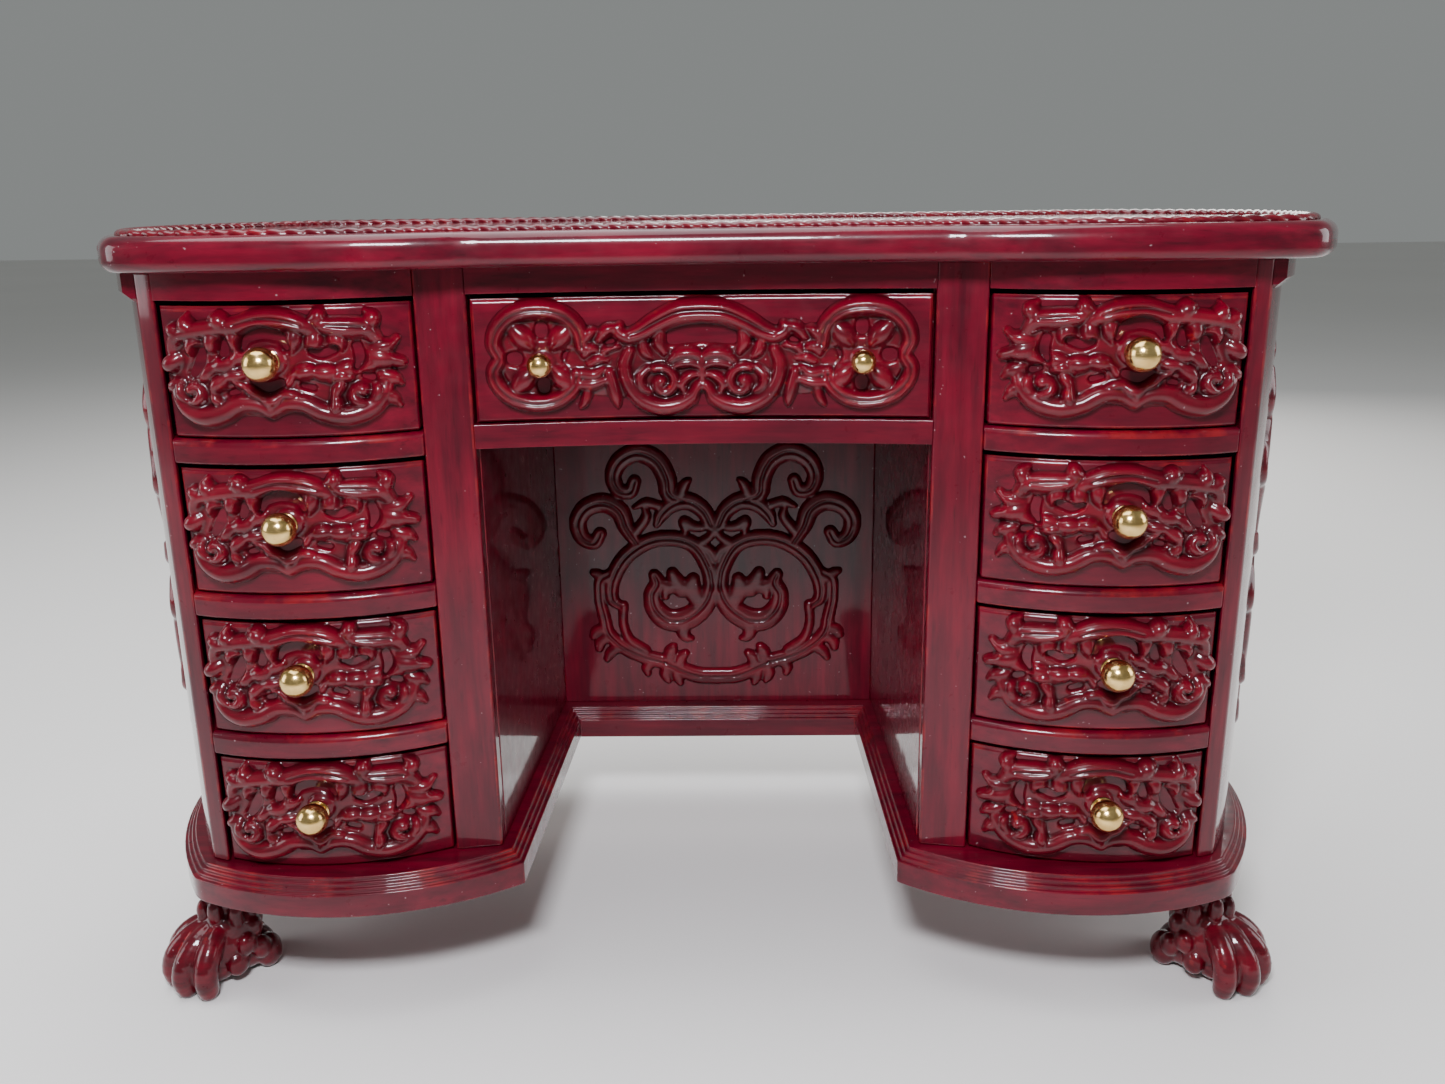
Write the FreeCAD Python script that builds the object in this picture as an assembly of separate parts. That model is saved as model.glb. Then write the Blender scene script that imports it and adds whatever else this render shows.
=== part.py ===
import FreeCAD, Part
import math
import os

from FreeCAD import Vector

# A twelfth-scale kneehole desk: two bow-fronted pedestals of four drawers, a hollow-fronted centre
# drawer, a moulded plinth and four paw feet.  All sizes are in millimetres.
# Plan sizes named "..._y" are measured from the front plane of the inner stiles, with + to the back.

# ---- Heights, from the floor up ----
foot_height = 10.0
plinth_height = 3.1
drawer_opening_heights = (9.9, 9.95, 10.4, 10.3)    # bottom drawer first
shelf_thickness = 1.9
frieze_height = 2.05
slab_thickness = 2.6
rope_height = 0.3
centre_opening_height = 9.95

# ---- Plan of the carcase (right half, mirrored to the left) ----
carcase_depth = 34.5
kneehole_width_front = 35.4
kneehole_taper = 2.2               # how much narrower it is at the back panel's distance
kneehole_back_void = 0.8           # between the kneehole's back and the back panel
stile_width = 3.8
stile_set_forward = 0.7            # how far the stile's outer edge stands in front of its inner edge
pedestal_bay_width = 20.2          # stile's outer edge to the carcase's front corner
front_corner_y = -1.9
end_taper = 4.0                    # back corners closer to the middle than the front ones
pedestal_bow = 2.4                 # height of the front arc of each pedestal
end_bulge = 6.9                    # height of the arc of each end
centre_hollow = 1.4                # depth of the hollow in the middle of the front

# ---- Boards ----
end_panel_thickness = 1.2
back_panel_thickness = 1.3
kneehole_board_thickness = 1.3
stile_depth = 1.5
frieze_depth = 1.6

# ---- Top ----
slab_overhang = 2.3                # past the ends and the back
slab_front_overhang = 3.1          # past the inner stiles
slab_set_right = 0.9               # the hand-fitted top sits a little to the right of the carcase
slab_front_bow = 2.2
slab_front_hollow = 0.8
slab_corner_radius = 3.0
slab_waist_radius = 8.0            # where each bow runs into the hollow
slab_upper_round = 1.1
slab_lower_round = 0.8
rope_inset = 1.3
rope_width = 1.2
rope_rebate = 0.2                  # depth that the rope is let into the slab
cove_height = 2.2
cove_projection = 0.8
cove_slope_share = 0.9             # of the projection, taken off the cove's lower edge

# ---- Plinth ----
plinth_margin = 2.35               # past the ends and the back
plinth_kneehole_margin = 1.9       # past the kneehole's sides
plinth_front_y = -0.9              # inner front corner
plinth_outer_front_y = -3.3        # outer front corner, before rounding
plinth_corner_out = 1.2            # the same corner past the carcase's front corner
plinth_bow = 3.9
plinth_corner_radius = 3.4         # outer corners, front and back
plinth_back_bar_set = 2.5          # its front face before the kneehole's back
plinth_step_height = 0.35
plinth_step_depth = 0.33
plinth_steps = 3

# ---- Drawers ----
side_gap = 0.25
top_gap = 0.4
bottom_gap = 0.15
front_recess = 0.35                # drawer front behind the rails' front edges
front_back_y = 1.0                 # flat back face of the bowed drawer fronts
centre_front_thickness = 1.6
tray_wall = 0.8
tray_side_relief = 0.3             # tray's sides inside the ends of the drawer front
tray_end_gap = 0.8                 # between the tray and the boards behind it
tray_height_share = 0.8            # tray's height as a share of the drawer front's
carving_thickness = 0.9
carving_margin_x = 0.8
carving_margin_z = 0.9
centre_carving_margin_x = 1.6

# ---- Knobs ----
knob_radius = 1.27
centre_knob_radius = 0.94
knob_stand_off = 1.3               # front face to the near side of the ball
knob_stem_share = 0.45             # stem radius as a share of the ball's
knob_clearing = 1.1                # radius of the hole in the carving round a knob, as a share of the ball's
knob_raise = 0.8                   # above the middle of a pedestal drawer's opening
knob_outset = 0.6                  # from the middle of a pedestal drawer, away from the kneehole
centre_knob_spacing = 24.4
centre_knob_drop = 0.3             # below the middle of the centre drawer's opening

# ---- Paw feet ----
foot_corner_out = 0.3              # front leg's centre past the carcase's front corner
foot_front_y = 2.0
foot_back_inset_y = 4.5
foot_neck_radius = 2.3
foot_ankle_radius = 3.1
foot_pad_length = 7.6
foot_pad_width = 6.6
foot_pad_height = 5.0
foot_pad_round = 1.6               # upright edges
foot_pad_top_round = 1.44
toe_radius = 1.35
toe_count = 4
toe_fan = 24.0                     # degrees between neighbouring toes
toe_reach = 5.4                    # leg's centre to the toes' middles
toe_sink = 0.27                    # toes' middles below one toe radius, so that they stand flat
ear_radius = 1.3
ear_reach = 3.6

# ---- Derived heights ----
plinth_top = foot_height + plinth_height
opening_floors = []
_level = plinth_top
for _height in drawer_opening_heights:
    opening_floors.append(_level)
    _level += _height + shelf_thickness
frieze_bottom = _level - shelf_thickness
slab_bottom = frieze_bottom + frieze_height
slab_top = slab_bottom + slab_thickness
centre_floor = frieze_bottom - centre_opening_height

# ---- Derived plan ----
kneehole_depth = carcase_depth - back_panel_thickness - kneehole_back_void - kneehole_board_thickness
stile_inner_x = kneehole_width_front / 2
stile_outer_x = stile_inner_x + stile_width
corner_x = stile_outer_x + pedestal_bay_width
back_corner_x = corner_x - end_taper
plinth_back_bar_y = kneehole_depth - plinth_back_bar_set
back_reach = carcase_depth + slab_overhang
front_face_y = front_corner_y - pedestal_bow          # near enough the foremost line of the rails
front_reach = -front_face_y + knob_stand_off + 2 * knob_radius
front_plane = (front_reach - back_reach) / 2          # the frame's origin is midway front to back


def place(x, y):
    """A plan point, from sizes measured at the front plane to the object's frame."""
    return Vector(x, y + front_plane, 0)


def arc_or_line(start, end, bulge):
    """An edge from start to end; bulge is the arc's height, to the right of the way it runs."""
    if abs(bulge) < 1e-9:
        return Part.makeLine(start, end)
    run = end - start
    across = Vector(run.y, -run.x, 0).normalize()
    middle = (start + end) * 0.5 + across * bulge
    return Part.Arc(start, middle, end).toShape()


def mirrored_outline(right_half, middle_bulge):
    """A closed outline from its right half, front to back, as (x, y, bulge to the next point)."""
    points = [place(x, y) for x, y, _ in right_half]
    bulges = [bulge for _, _, bulge in right_half]
    left = [Vector(-p.x, p.y, 0) for p in reversed(points)]
    loop = points + left
    edge_bulges = bulges[:-1] + [0.0] + list(reversed(bulges[:-1])) + [middle_bulge]
    edges = []
    for index, bulge in enumerate(edge_bulges):
        edges.append(arc_or_line(loop[index], loop[(index + 1) % len(loop)], bulge))
    return Part.Wire(edges)


def prism(wire, bottom, top):
    """The solid that stands on a plan outline, between two heights."""
    face = Part.Face(wire)
    face.translate(Vector(0, 0, bottom))
    return face.extrude(Vector(0, 0, top - bottom))


def block(x0, x1, y0, y1, z0, z1):
    """A box between plan sizes measured at the front plane."""
    low = place(min(x0, x1), y0)
    low.z = z0
    return Part.makeBox(abs(x1 - x0), y1 - y0, z1 - z0, low)


def mirror(shape):
    """The same piece on the other side of the desk."""
    return shape.mirror(Vector(0, 0, 0), Vector(1, 0, 0))


def slanted_board(front_x, back_x, y0, y1, z0, z1, thickness):
    """A board along the kneehole's tapering side; thickness is outwards in X."""
    corners = [place(front_x, y0), place(front_x + thickness, y0),
               place(back_x + thickness, y1), place(back_x, y1)]
    return prism(Part.makePolygon(corners + corners[:1]), z0, z1)


def vertical_edges(shape):
    """The edges that stand upright."""
    found = []
    for edge in shape.Edges:
        run = edge.lastVertex().Point - edge.firstVertex().Point
        if abs(run.x) < 1e-6 and abs(run.y) < 1e-6 and abs(run.z) > 1e-6:
            found.append(edge)
    return found


def level_edges(shape, height):
    """The edges that lie wholly at one height."""
    return [e for e in shape.Edges
            if abs(e.BoundBox.ZMin - height) < 1e-6 and abs(e.BoundBox.ZMax - height) < 1e-6]


def reach_x(edge):
    """How far an upright edge stands from the middle of the desk."""
    return abs(edge.BoundBox.XMin)


def outer_corners(shape):
    """The sharp upright edges at the four outer corners."""
    return [e for e in vertical_edges(shape) if reach_x(e) >= back_corner_x]


def kneehole_x(y):
    """Half the kneehole's width at a distance behind the front plane."""
    return (kneehole_width_front - kneehole_taper * y / kneehole_depth) / 2


# ---- Plan outlines ----
def carcase_outline():
    """The kidney-shaped plan that every upright board stands within."""
    return mirrored_outline([
        (stile_inner_x, 0.0, 0.0),
        (stile_outer_x, -stile_set_forward, pedestal_bow),
        (corner_x, front_corner_y, end_bulge),
        (back_corner_x, carcase_depth, 0.0),
    ], -centre_hollow)


def end_arc():
    """Centre and radius of the right end's arc."""
    edge = arc_or_line(place(corner_x, front_corner_y), place(back_corner_x, carcase_depth), end_bulge)
    return edge.Curve.Center, edge.Curve.Radius


def grown_end(margin):
    """The right end's arc moved out by a margin: front corner's x and y, and the arc's bulge."""
    centre, radius = end_arc()
    grown = (radius + margin) / radius
    corner = centre + (place(corner_x, front_corner_y) - centre) * grown
    return corner.x, corner.y - front_plane, end_bulge * grown


def ends_outline(margin):
    """Both ends and the back moved out by a margin, closed straight across the front."""
    x, y, bulge = grown_end(margin)
    return mirrored_outline([
        (x, y, bulge),
        (back_corner_x + margin, carcase_depth + margin, 0.0),
    ], 0.0)


def slab_outline():
    """The top's outline: bowed over each pedestal and hollow over the kneehole."""
    x, y, bulge = grown_end(slab_overhang)
    return mirrored_outline([
        (stile_inner_x, -slab_front_overhang, slab_front_bow),
        (x, y - (slab_front_overhang - slab_overhang), bulge),
        (back_corner_x + slab_overhang, carcase_depth + slab_overhang, 0.0),
    ], -slab_front_hollow)


def plinth_outline(inset):
    """The plinth's U outline, drawn in by one moulding step after another."""
    _, radius = end_arc()
    inner_x = stile_inner_x - plinth_kneehole_margin
    inner_back_x = kneehole_x(plinth_back_bar_y) - plinth_kneehole_margin
    outer_x = corner_x + plinth_corner_out
    right = [
        (inner_back_x, plinth_back_bar_y, 0.0),
        (inner_x, plinth_front_y, plinth_bow),
        (outer_x, plinth_outer_front_y, end_bulge * (radius + plinth_margin) / radius),
        (back_corner_x + plinth_margin, carcase_depth + plinth_margin, 0.0),
    ]
    wire = mirrored_outline(right, 0.0)
    return wire if inset == 0 else wire.makeOffset2D(-inset, 2)


# ---- Carcase pieces ----
def bay_outer_x():
    """The end panel's inner face at the front, where it is squared off beside the drawers."""
    centre, radius = end_arc()
    front_y = front_corner_y + front_plane
    return centre.x + math.sqrt((radius - end_panel_thickness) ** 2 - (centre.y - front_y) ** 2)


def end_ring(bottom, top):
    """Everything outside each end panel's inner face, as a pair of wide rings."""
    centre, radius = end_arc()
    height = top - bottom
    inner = radius - end_panel_thickness
    outer = radius * 2
    centre = Vector(centre.x, centre.y, bottom)
    hoop = Part.makeCylinder(outer, height, centre).cut(Part.makeCylinder(inner, height, centre))
    right = hoop.common(block(centre.x, centre.x + outer, -outer, outer, bottom, top))
    right = right.cut(block(0, bay_outer_x(), -outer, front_corner_y, bottom, top))
    return right, mirror(right)


def inside(bottom, top):
    """The carcase between its two end panels, as one solid to cut boards from."""
    right, left = end_ring(bottom, top)
    return prism(carcase_outline(), bottom, top).cut(right).cut(left)


def right_end_panel():
    right, _ = end_ring(plinth_top, slab_bottom)
    return prism(carcase_outline(), plinth_top, slab_bottom).common(right)


def back_panel():
    whole = inside(plinth_top, slab_bottom)
    strip = block(-corner_x, corner_x, carcase_depth - back_panel_thickness, carcase_depth + 1,
                  plinth_top, slab_bottom)
    return whole.common(strip)


def stile_block(bottom, top):
    corners = [place(stile_inner_x, 0), place(stile_outer_x, -stile_set_forward),
               place(stile_outer_x, stile_depth), place(stile_inner_x, stile_depth)]
    return prism(Part.makePolygon(corners + corners[:1]), bottom, top)


def right_inner_stile():
    return stile_block(plinth_top, slab_bottom)


def right_kneehole_side():
    y1 = carcase_depth - back_panel_thickness
    return slanted_board(kneehole_x(stile_depth), kneehole_x(y1), stile_depth, y1,
                         plinth_top, slab_bottom, kneehole_board_thickness)


def kneehole_back():
    y0 = kneehole_depth
    y1 = kneehole_depth + kneehole_board_thickness
    corners = [place(-kneehole_x(y0), y0), place(kneehole_x(y0), y0),
               place(kneehole_x(y1), y1), place(-kneehole_x(y1), y1)]
    return prism(Part.makePolygon(corners + corners[:1]), plinth_top, slab_bottom)


def frieze_rails():
    """Three rails under the slab, one over each bay, between the stiles and the end panels."""
    whole = inside(frieze_bottom, slab_bottom)
    shifted = whole.copy()
    shifted.translate(Vector(0, frieze_depth, 0))
    strip = whole.cut(shifted)
    for piece in (stile_block(frieze_bottom, slab_bottom), right_kneehole_side()):
        strip = strip.cut(piece).cut(mirror(piece))
    front_half = block(-corner_x, corner_x, -carcase_depth, carcase_depth / 2, frieze_bottom, slab_bottom)
    strip = strip.common(front_half)
    rails = [solid for solid in strip.Solids if solid.BoundBox.XLength > stile_width]
    return Part.makeCompound(rails)


def pedestal_shelf(floor_level):
    """A bow-fronted board under a drawer: its front edge is the rail that shows."""
    bottom = floor_level - shelf_thickness
    y1 = carcase_depth - back_panel_thickness
    side = kneehole_board_thickness
    corners = [place(kneehole_x(stile_depth) + side, stile_depth), place(stile_outer_x, stile_depth),
               place(stile_outer_x, -carcase_depth), place(2 * corner_x, -carcase_depth),
               place(2 * corner_x, y1), place(kneehole_x(y1) + side, y1)]
    room = prism(Part.makePolygon(corners + corners[:1]), bottom, floor_level)
    return inside(bottom, floor_level).common(room)


def centre_shelf():
    """The hollow-fronted board under the centre drawer, between the kneehole's sides."""
    bottom = centre_floor - shelf_thickness
    right = [(stile_inner_x, -carcase_depth), (stile_inner_x, stile_depth),
             (kneehole_x(stile_depth), stile_depth), (kneehole_x(kneehole_depth), kneehole_depth)]
    corners = [place(x, y) for x, y in right] + [place(-x, y) for x, y in reversed(right)]
    room = prism(Part.makePolygon(corners + corners[:1]), bottom, centre_floor)
    return inside(bottom, centre_floor).common(room)


# ---- Top pieces ----
def top_slab():
    slab = prism(slab_outline(), slab_bottom, slab_top)
    waists = [e for e in vertical_edges(slab) if reach_x(e) < stile_outer_x]
    slab = slab.makeFillet(slab_waist_radius, waists)
    slab = slab.makeFillet(slab_corner_radius, outer_corners(slab))
    slab = slab.makeFillet(slab_upper_round, level_edges(slab, slab_top))
    slab = slab.makeFillet(slab_lower_round, level_edges(slab, slab_bottom))
    return slab.cut(rope_border())


def rope_border():
    """A low band that runs round the top, just inside its edge, let into the slab."""
    outer = slab_outline().makeOffset2D(-rope_inset)
    inner = slab_outline().makeOffset2D(-rope_inset - rope_width)
    bottom = slab_top - rope_rebate
    top = slab_top + rope_height
    return prism(outer, bottom, top).cut(prism(inner, bottom, top))


def set_right(shape):
    """A piece of the top, moved to where the top was fixed."""
    shape.translate(Vector(slab_set_right, 0, 0))
    return shape


def cove_moulding():
    """A sloping moulding under the slab, round both ends and the back."""
    bottom = slab_bottom - cove_height
    grown = prism(ends_outline(cove_projection), bottom, slab_bottom)
    grown = grown.makeChamfer(cove_projection * cove_slope_share, level_edges(grown, bottom))
    ring = grown.cut(prism(ends_outline(0.0), bottom - cove_height, slab_top))
    behind = block(-2 * corner_x, 2 * corner_x, front_corner_y, 2 * carcase_depth, bottom, slab_bottom)
    return ring.common(behind)


# ---- Plinth and feet ----
def plinth_layer(inset, bottom, top):
    """One level of the plinth, with its outer corners rounded."""
    layer = prism(plinth_outline(inset), bottom, top)
    return layer.makeFillet(plinth_corner_radius - inset, outer_corners(layer))


def base_plinth():
    """The U-shaped plinth: an upright fascia under shallow steps."""
    fascia_top = plinth_top - plinth_steps * plinth_step_height
    plinth = plinth_layer(0, foot_height, fascia_top)
    for step in range(1, plinth_steps + 1):
        bottom = fascia_top + (step - 1) * plinth_step_height
        plinth = plinth.fuse(plinth_layer(step * plinth_step_depth, bottom, bottom + plinth_step_height))
    return plinth.removeSplitter()


def paw_foot(x, y, turn):
    """A paw that faces +X, turned about its leg and set under the plinth's corner."""
    pad = Part.makeBox(foot_pad_length, foot_pad_width, foot_pad_height,
                       Vector(toe_reach - foot_pad_length, -foot_pad_width / 2, 0))
    pad = pad.makeFillet(foot_pad_round, vertical_edges(pad))
    pad = pad.makeFillet(foot_pad_top_round, level_edges(pad, foot_pad_height))
    ankle_z = foot_pad_height / 2
    leg = Part.makeCone(foot_ankle_radius, foot_neck_radius, foot_height - ankle_z, Vector(0, 0, ankle_z))
    ear = Part.makeSphere(ear_radius, Vector(-ear_radius, ear_reach, ankle_z))
    pieces = [leg, ear]
    for toe in range(toe_count):
        angle = math.radians((toe - (toe_count - 1) / 2) * toe_fan)
        middle = Vector(toe_reach * math.cos(angle), toe_reach * math.sin(angle), toe_radius - toe_sink)
        pieces.append(Part.makeSphere(toe_radius, middle))
    foot = pad.fuse(pieces)
    room = 2 * (toe_reach + toe_radius + foot_pad_length)
    above_floor = Part.makeBox(room, room, foot_height, Vector(-room / 2, -room / 2, 0))
    foot = foot.common(above_floor).removeSplitter()
    foot.rotate(Vector(0, 0, 0), Vector(0, 0, 1), turn)
    foot.translate(place(x, y))
    return foot


# ---- Drawers ----
def bay_limits():
    """Left and right limits of a pedestal drawer, inside the stile and the end panel's edge."""
    return stile_outer_x + side_gap, bay_outer_x() - side_gap


def tray_back_y(outer_x):
    """How far back a pedestal tray may reach before it meets the back or the curving end."""
    centre, radius = end_arc()
    across = outer_x + side_gap - centre.x
    along = math.sqrt((radius - end_panel_thickness) ** 2 - across ** 2)
    end_y = centre.y - front_plane + along
    return min(end_y, carcase_depth - back_panel_thickness) - tray_end_gap


def bowed_front(floor_level, height):
    """A drawer front with the pedestal's bow outside and a flat back."""
    x0, x1 = bay_limits()
    bottom = floor_level + bottom_gap
    top = floor_level + height - top_gap
    whole = prism(carcase_outline(), bottom, top)
    whole.translate(Vector(0, front_recess, 0))
    return whole.common(block(x0, x1, -carcase_depth, front_back_y, bottom, top))


def centre_front():
    x1 = stile_inner_x - side_gap
    bottom = centre_floor + bottom_gap
    top = frieze_bottom - top_gap
    whole = prism(carcase_outline(), bottom, top)
    whole.translate(Vector(0, front_recess, 0))
    back = centre_hollow + centre_front_thickness
    return whole.common(block(-x1, x1, -carcase_depth, back, bottom, top))


def carving_plate(front, margin_x, margin_z):
    """A plate that follows a drawer front and stands proud of it."""
    box = front.BoundBox
    proud = front.copy()
    proud.translate(Vector(0, -carving_thickness, 0))
    proud = proud.cut(front)
    window = Part.makeBox(box.XLength - 2 * margin_x, 2 * carcase_depth, box.ZLength - 2 * margin_z,
                          Vector(box.XMin + margin_x, box.YMin - carcase_depth, box.ZMin + margin_z))
    return max(proud.common(window).Solids, key=lambda solid: solid.Volume)


def tray(x0, x1, y0, y1, bottom, height):
    """An open box: floor, two sides, a front wall and a back wall in one."""
    outer = block(x0, x1, y0, y1, bottom, bottom + height)
    hollow = block(x0 + tray_wall, x1 - tray_wall, y0 + tray_wall, y1 - tray_wall,
                   bottom + tray_wall, bottom + height + 1)
    return outer.cut(hollow)


def knob(x, z, radius, front):
    """A ball knob on a short stem, standing out of a drawer front and fitted to its face."""
    line = Part.makeLine(Vector(x, front.BoundBox.YMin - 1, z), Vector(x, front.BoundBox.YMax + 1, z))
    face_y = line.common(front).BoundBox.YMin
    ball_y = face_y - knob_stand_off - radius
    stem_end_y = front.BoundBox.YMax
    stem = Part.makeCylinder(radius * knob_stem_share, stem_end_y - ball_y,
                             Vector(x, ball_y, z), Vector(0, 1, 0))
    ball = Part.makeSphere(radius, Vector(x, ball_y, z))
    return stem.fuse(ball).removeSplitter().cut(front)


def bored(carving, x, z, radius):
    """The carving with a clear hole round a knob's stem."""
    box = carving.BoundBox
    hole = Part.makeCylinder(radius, box.YLength + 2, Vector(x, box.YMin - 1, z), Vector(0, 1, 0))
    return carving.cut(hole)


def pedestal_drawer(level):
    """Front, carving, tray and knob of one right-hand drawer; level 0 is the lowest."""
    floor_level = opening_floors[level]
    height = drawer_opening_heights[level]
    x0, x1 = bay_limits()
    front = bowed_front(floor_level, height)
    knob_x = (x0 + x1) / 2 + knob_outset
    knob_z = floor_level + height / 2 + knob_raise
    plate = carving_plate(front, carving_margin_x, carving_margin_z)
    carving = bored(plate, knob_x, knob_z, knob_radius * knob_clearing)
    box = tray(x0 + tray_side_relief, x1 - tray_side_relief, front_back_y, tray_back_y(x1),
               floor_level + bottom_gap, (height - top_gap - bottom_gap) * tray_height_share)
    return {"front": front, "carving": carving, "tray": box,
            "knob": knob(knob_x, knob_z, knob_radius, front)}


def centre_drawer():
    front = centre_front()
    knob_x = centre_knob_spacing / 2
    knob_z = (centre_floor + frieze_bottom) / 2 - centre_knob_drop
    carving = carving_plate(front, centre_carving_margin_x, carving_margin_z)
    knobs = []
    for x in (-knob_x, knob_x):
        carving = bored(carving, x, knob_z, centre_knob_radius * knob_clearing)
        knobs.append(knob(x, knob_z, centre_knob_radius, front))
    half = kneehole_x(kneehole_depth) - side_gap - tray_side_relief
    box = tray(-half, half, centre_hollow + centre_front_thickness, kneehole_depth - tray_end_gap,
               centre_floor + bottom_gap,
               (centre_opening_height - top_gap - bottom_gap) * tray_height_share)
    return {"front": front, "carving": carving, "tray": box, "knobs": Part.makeCompound(knobs)}


# ---- The whole desk ----
def desk_pieces():
    pieces = {
        "top_slab": set_right(top_slab()),
        "rope_border": set_right(rope_border()),
        "cove_moulding": cove_moulding(),
        "frieze_rails": frieze_rails(),
        "back_panel": back_panel(),
        "kneehole_back": kneehole_back(),
        "centre_shelf": centre_shelf(),
        "base_plinth": base_plinth(),
    }
    for name, shape in (("end_panel", right_end_panel()), ("inner_stile", right_inner_stile()),
                        ("kneehole_side", right_kneehole_side())):
        pieces["right_" + name] = shape
        pieces["left_" + name] = mirror(shape)
    for number, floor_level in enumerate(opening_floors[1:], start=1):
        shelf = pedestal_shelf(floor_level)
        pieces["right_shelf_%d" % number] = shelf
        pieces["left_shelf_%d" % number] = mirror(shelf)
    for name, x, y, turn in (("front", corner_x + foot_corner_out, foot_front_y, -45),
                             ("back", back_corner_x, carcase_depth - foot_back_inset_y, 45)):
        foot = paw_foot(x, y, turn)
        pieces["right_%s_foot" % name] = foot
        pieces["left_%s_foot" % name] = mirror(foot)
    for level in range(len(opening_floors)):
        for part, shape in pedestal_drawer(level).items():
            number = len(opening_floors) - level
            pieces["right_drawer_%d_%s" % (number, part)] = shape
            pieces["left_drawer_%d_%s" % (number, part)] = mirror(shape)
    for part, shape in centre_drawer().items():
        pieces["centre_drawer_" + part] = shape
    return pieces


os.makedirs("parts", exist_ok=True)
for node, shape in desk_pieces().items():
    shape.exportStep("parts/%s.step" % node)
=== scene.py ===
"""The looks of a twelfth-scale kneehole desk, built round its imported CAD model."""
import math

import bmesh
import bpy
import numpy as np
from mathutils import Matrix, Vector


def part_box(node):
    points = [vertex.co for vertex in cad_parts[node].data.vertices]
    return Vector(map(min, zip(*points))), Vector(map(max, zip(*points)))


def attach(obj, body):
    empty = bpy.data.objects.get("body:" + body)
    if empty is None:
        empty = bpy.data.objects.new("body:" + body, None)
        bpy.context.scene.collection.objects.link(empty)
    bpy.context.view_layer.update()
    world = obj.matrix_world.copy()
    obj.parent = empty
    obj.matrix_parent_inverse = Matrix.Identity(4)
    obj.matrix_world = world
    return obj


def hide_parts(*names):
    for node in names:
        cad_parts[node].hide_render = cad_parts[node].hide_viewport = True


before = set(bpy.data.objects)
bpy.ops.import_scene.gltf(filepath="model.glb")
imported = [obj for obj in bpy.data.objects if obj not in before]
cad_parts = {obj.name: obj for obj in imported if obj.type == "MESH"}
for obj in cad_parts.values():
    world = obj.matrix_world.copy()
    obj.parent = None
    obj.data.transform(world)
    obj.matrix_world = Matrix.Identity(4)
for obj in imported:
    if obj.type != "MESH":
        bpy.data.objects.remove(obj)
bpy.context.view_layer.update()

MM = 0.001
SIDES = {"left": -1, "right": 1}
DRAWERS = (1, 2, 3, 4)

# ---- Driving sizes, in millimetres unless their comment says otherwise ----
RELIEF_BURIED = 0.12        # how far a carving's background lies below the board that it is on
RELIEF_BACK = 0.35          # how far a carving's back lies below that board
FULLNESS = 1.36             # how much wider a carved stroke is than its drawn line
WOBBLE = 0.16               # how much a hand-carved stroke swells and narrows
WOBBLE_LENGTH = 1.5         # from one swelling to the next
CAVITY_REACH = 0.55         # how far round a point the cavity shading looks
BOLDNESS = 1.36             # how much higher a carved stroke is than its drawn height
STRAP_HEIGHT = 0.5          # drawn height of the kneehole's flat bands
SHARP_ANGLE = 32            # degrees between faces, above which an edge is rounded over
FLAT_ANGLE = 0.4            # degrees between faces, below which they are joined into one
MERGE_DISTANCE = 2e-7       # metres between points that are joined into one
BEVEL_SEGMENTS = 4
DRAWER_RELIEF_STEP = 0.075
CENTRE_RELIEF_STEP = 0.085
PANEL_RELIEF_STEP = 0.12
END_RELIEF_STEP = 0.135
END_CARVING = (-11.5, 15.0, 16.5, 42.0)     # first y, last y, lowest z and height
BACK_CARVING = (24.8, 16.5, 42.0)           # width of one cartouche, lowest z and height
KNEEHOLE_CARVING = (0.3, 0.1, 34.0)         # margin at each side, margin below and height
ROPE_STEP = 0.13
ROPE_PITCH = 1.35
ROPE_SIDES = 14
ROPE_SMOOTHING = 2.6        # how far the rope's path is smoothed along itself
ROPE_WAIST = 0.7            # radius between two strands, as a share of the rope's
ROPE_SWELL = 0.36           # how much more than that a strand stands out
ROPE_FLATNESS = 0.62        # height as a share of width
ROPE_LIFT = 0.05            # how far the rope's middle is above the slab
KNOB_SIDES = 56
PAW_VOXEL = 0.13
TOE_ANGLES = (-36, -12, 12, 36)
TOE_RIDGE = ((0.8, 5.0, 0.95), (2.4, 4.75, 1.04), (3.8, 4.05, 1.1), (4.8, 2.95, 1.12), (5.15, 1.7, 1.08),
             (5.0, 0.8, 0.95))          # reach, height and half width along a toe
TUFTS = 8                   # leaf tufts round each ankle
PLAIN_ROUNDING = (0.22, None)       # how far a board's edges are rounded, and its top front edges
SIDE_ROUNDING = (0.1, None)
SHELF_ROUNDING = (0.25, 0.8)
FRONT_ROUNDING = (0.22, 0.42)
TRAY_ROUNDING = 0.12
CAMERA_PLACE = (3.305, -107.916, 66.116)
CAMERA_ANGLES = (0.2736, 0.0203, -0.0141)   # pitch, yaw and roll, in radians
FOCAL_SHARE = 1228.84 / 1445                # focal length as a share of the picture's width
SENSOR_WIDTH = 36.0
FLOOR_SIZE = 1.5            # metres

# ---- Colours, linear ----
DEEP = (0.044, 0.0006, 0.0056, 1.0)
BRIGHT = (0.146, 0.0012, 0.0132, 1.0)
CARVED_DEEP = (0.048, 0.001, 0.005, 1.0)
CARVED_BRIGHT = (0.165, 0.002, 0.0115, 1.0)
WORN = (0.32, 0.014, 0.013, 1.0)
DUST = (0.4, 0.3, 0.32, 1.0)
DAYLIGHT = (0.95, 0.97, 1.0)

GRAIN_SCALES = {"x": (90.0, 900.0, 900.0), "y": (900.0, 90.0, 900.0), "z": (900.0, 900.0, 90.0)}
PEDESTAL_DRAWERS = {"%s_drawer_%d" % (side, k): sign for side, sign in SIDES.items() for k in DRAWERS}


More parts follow.
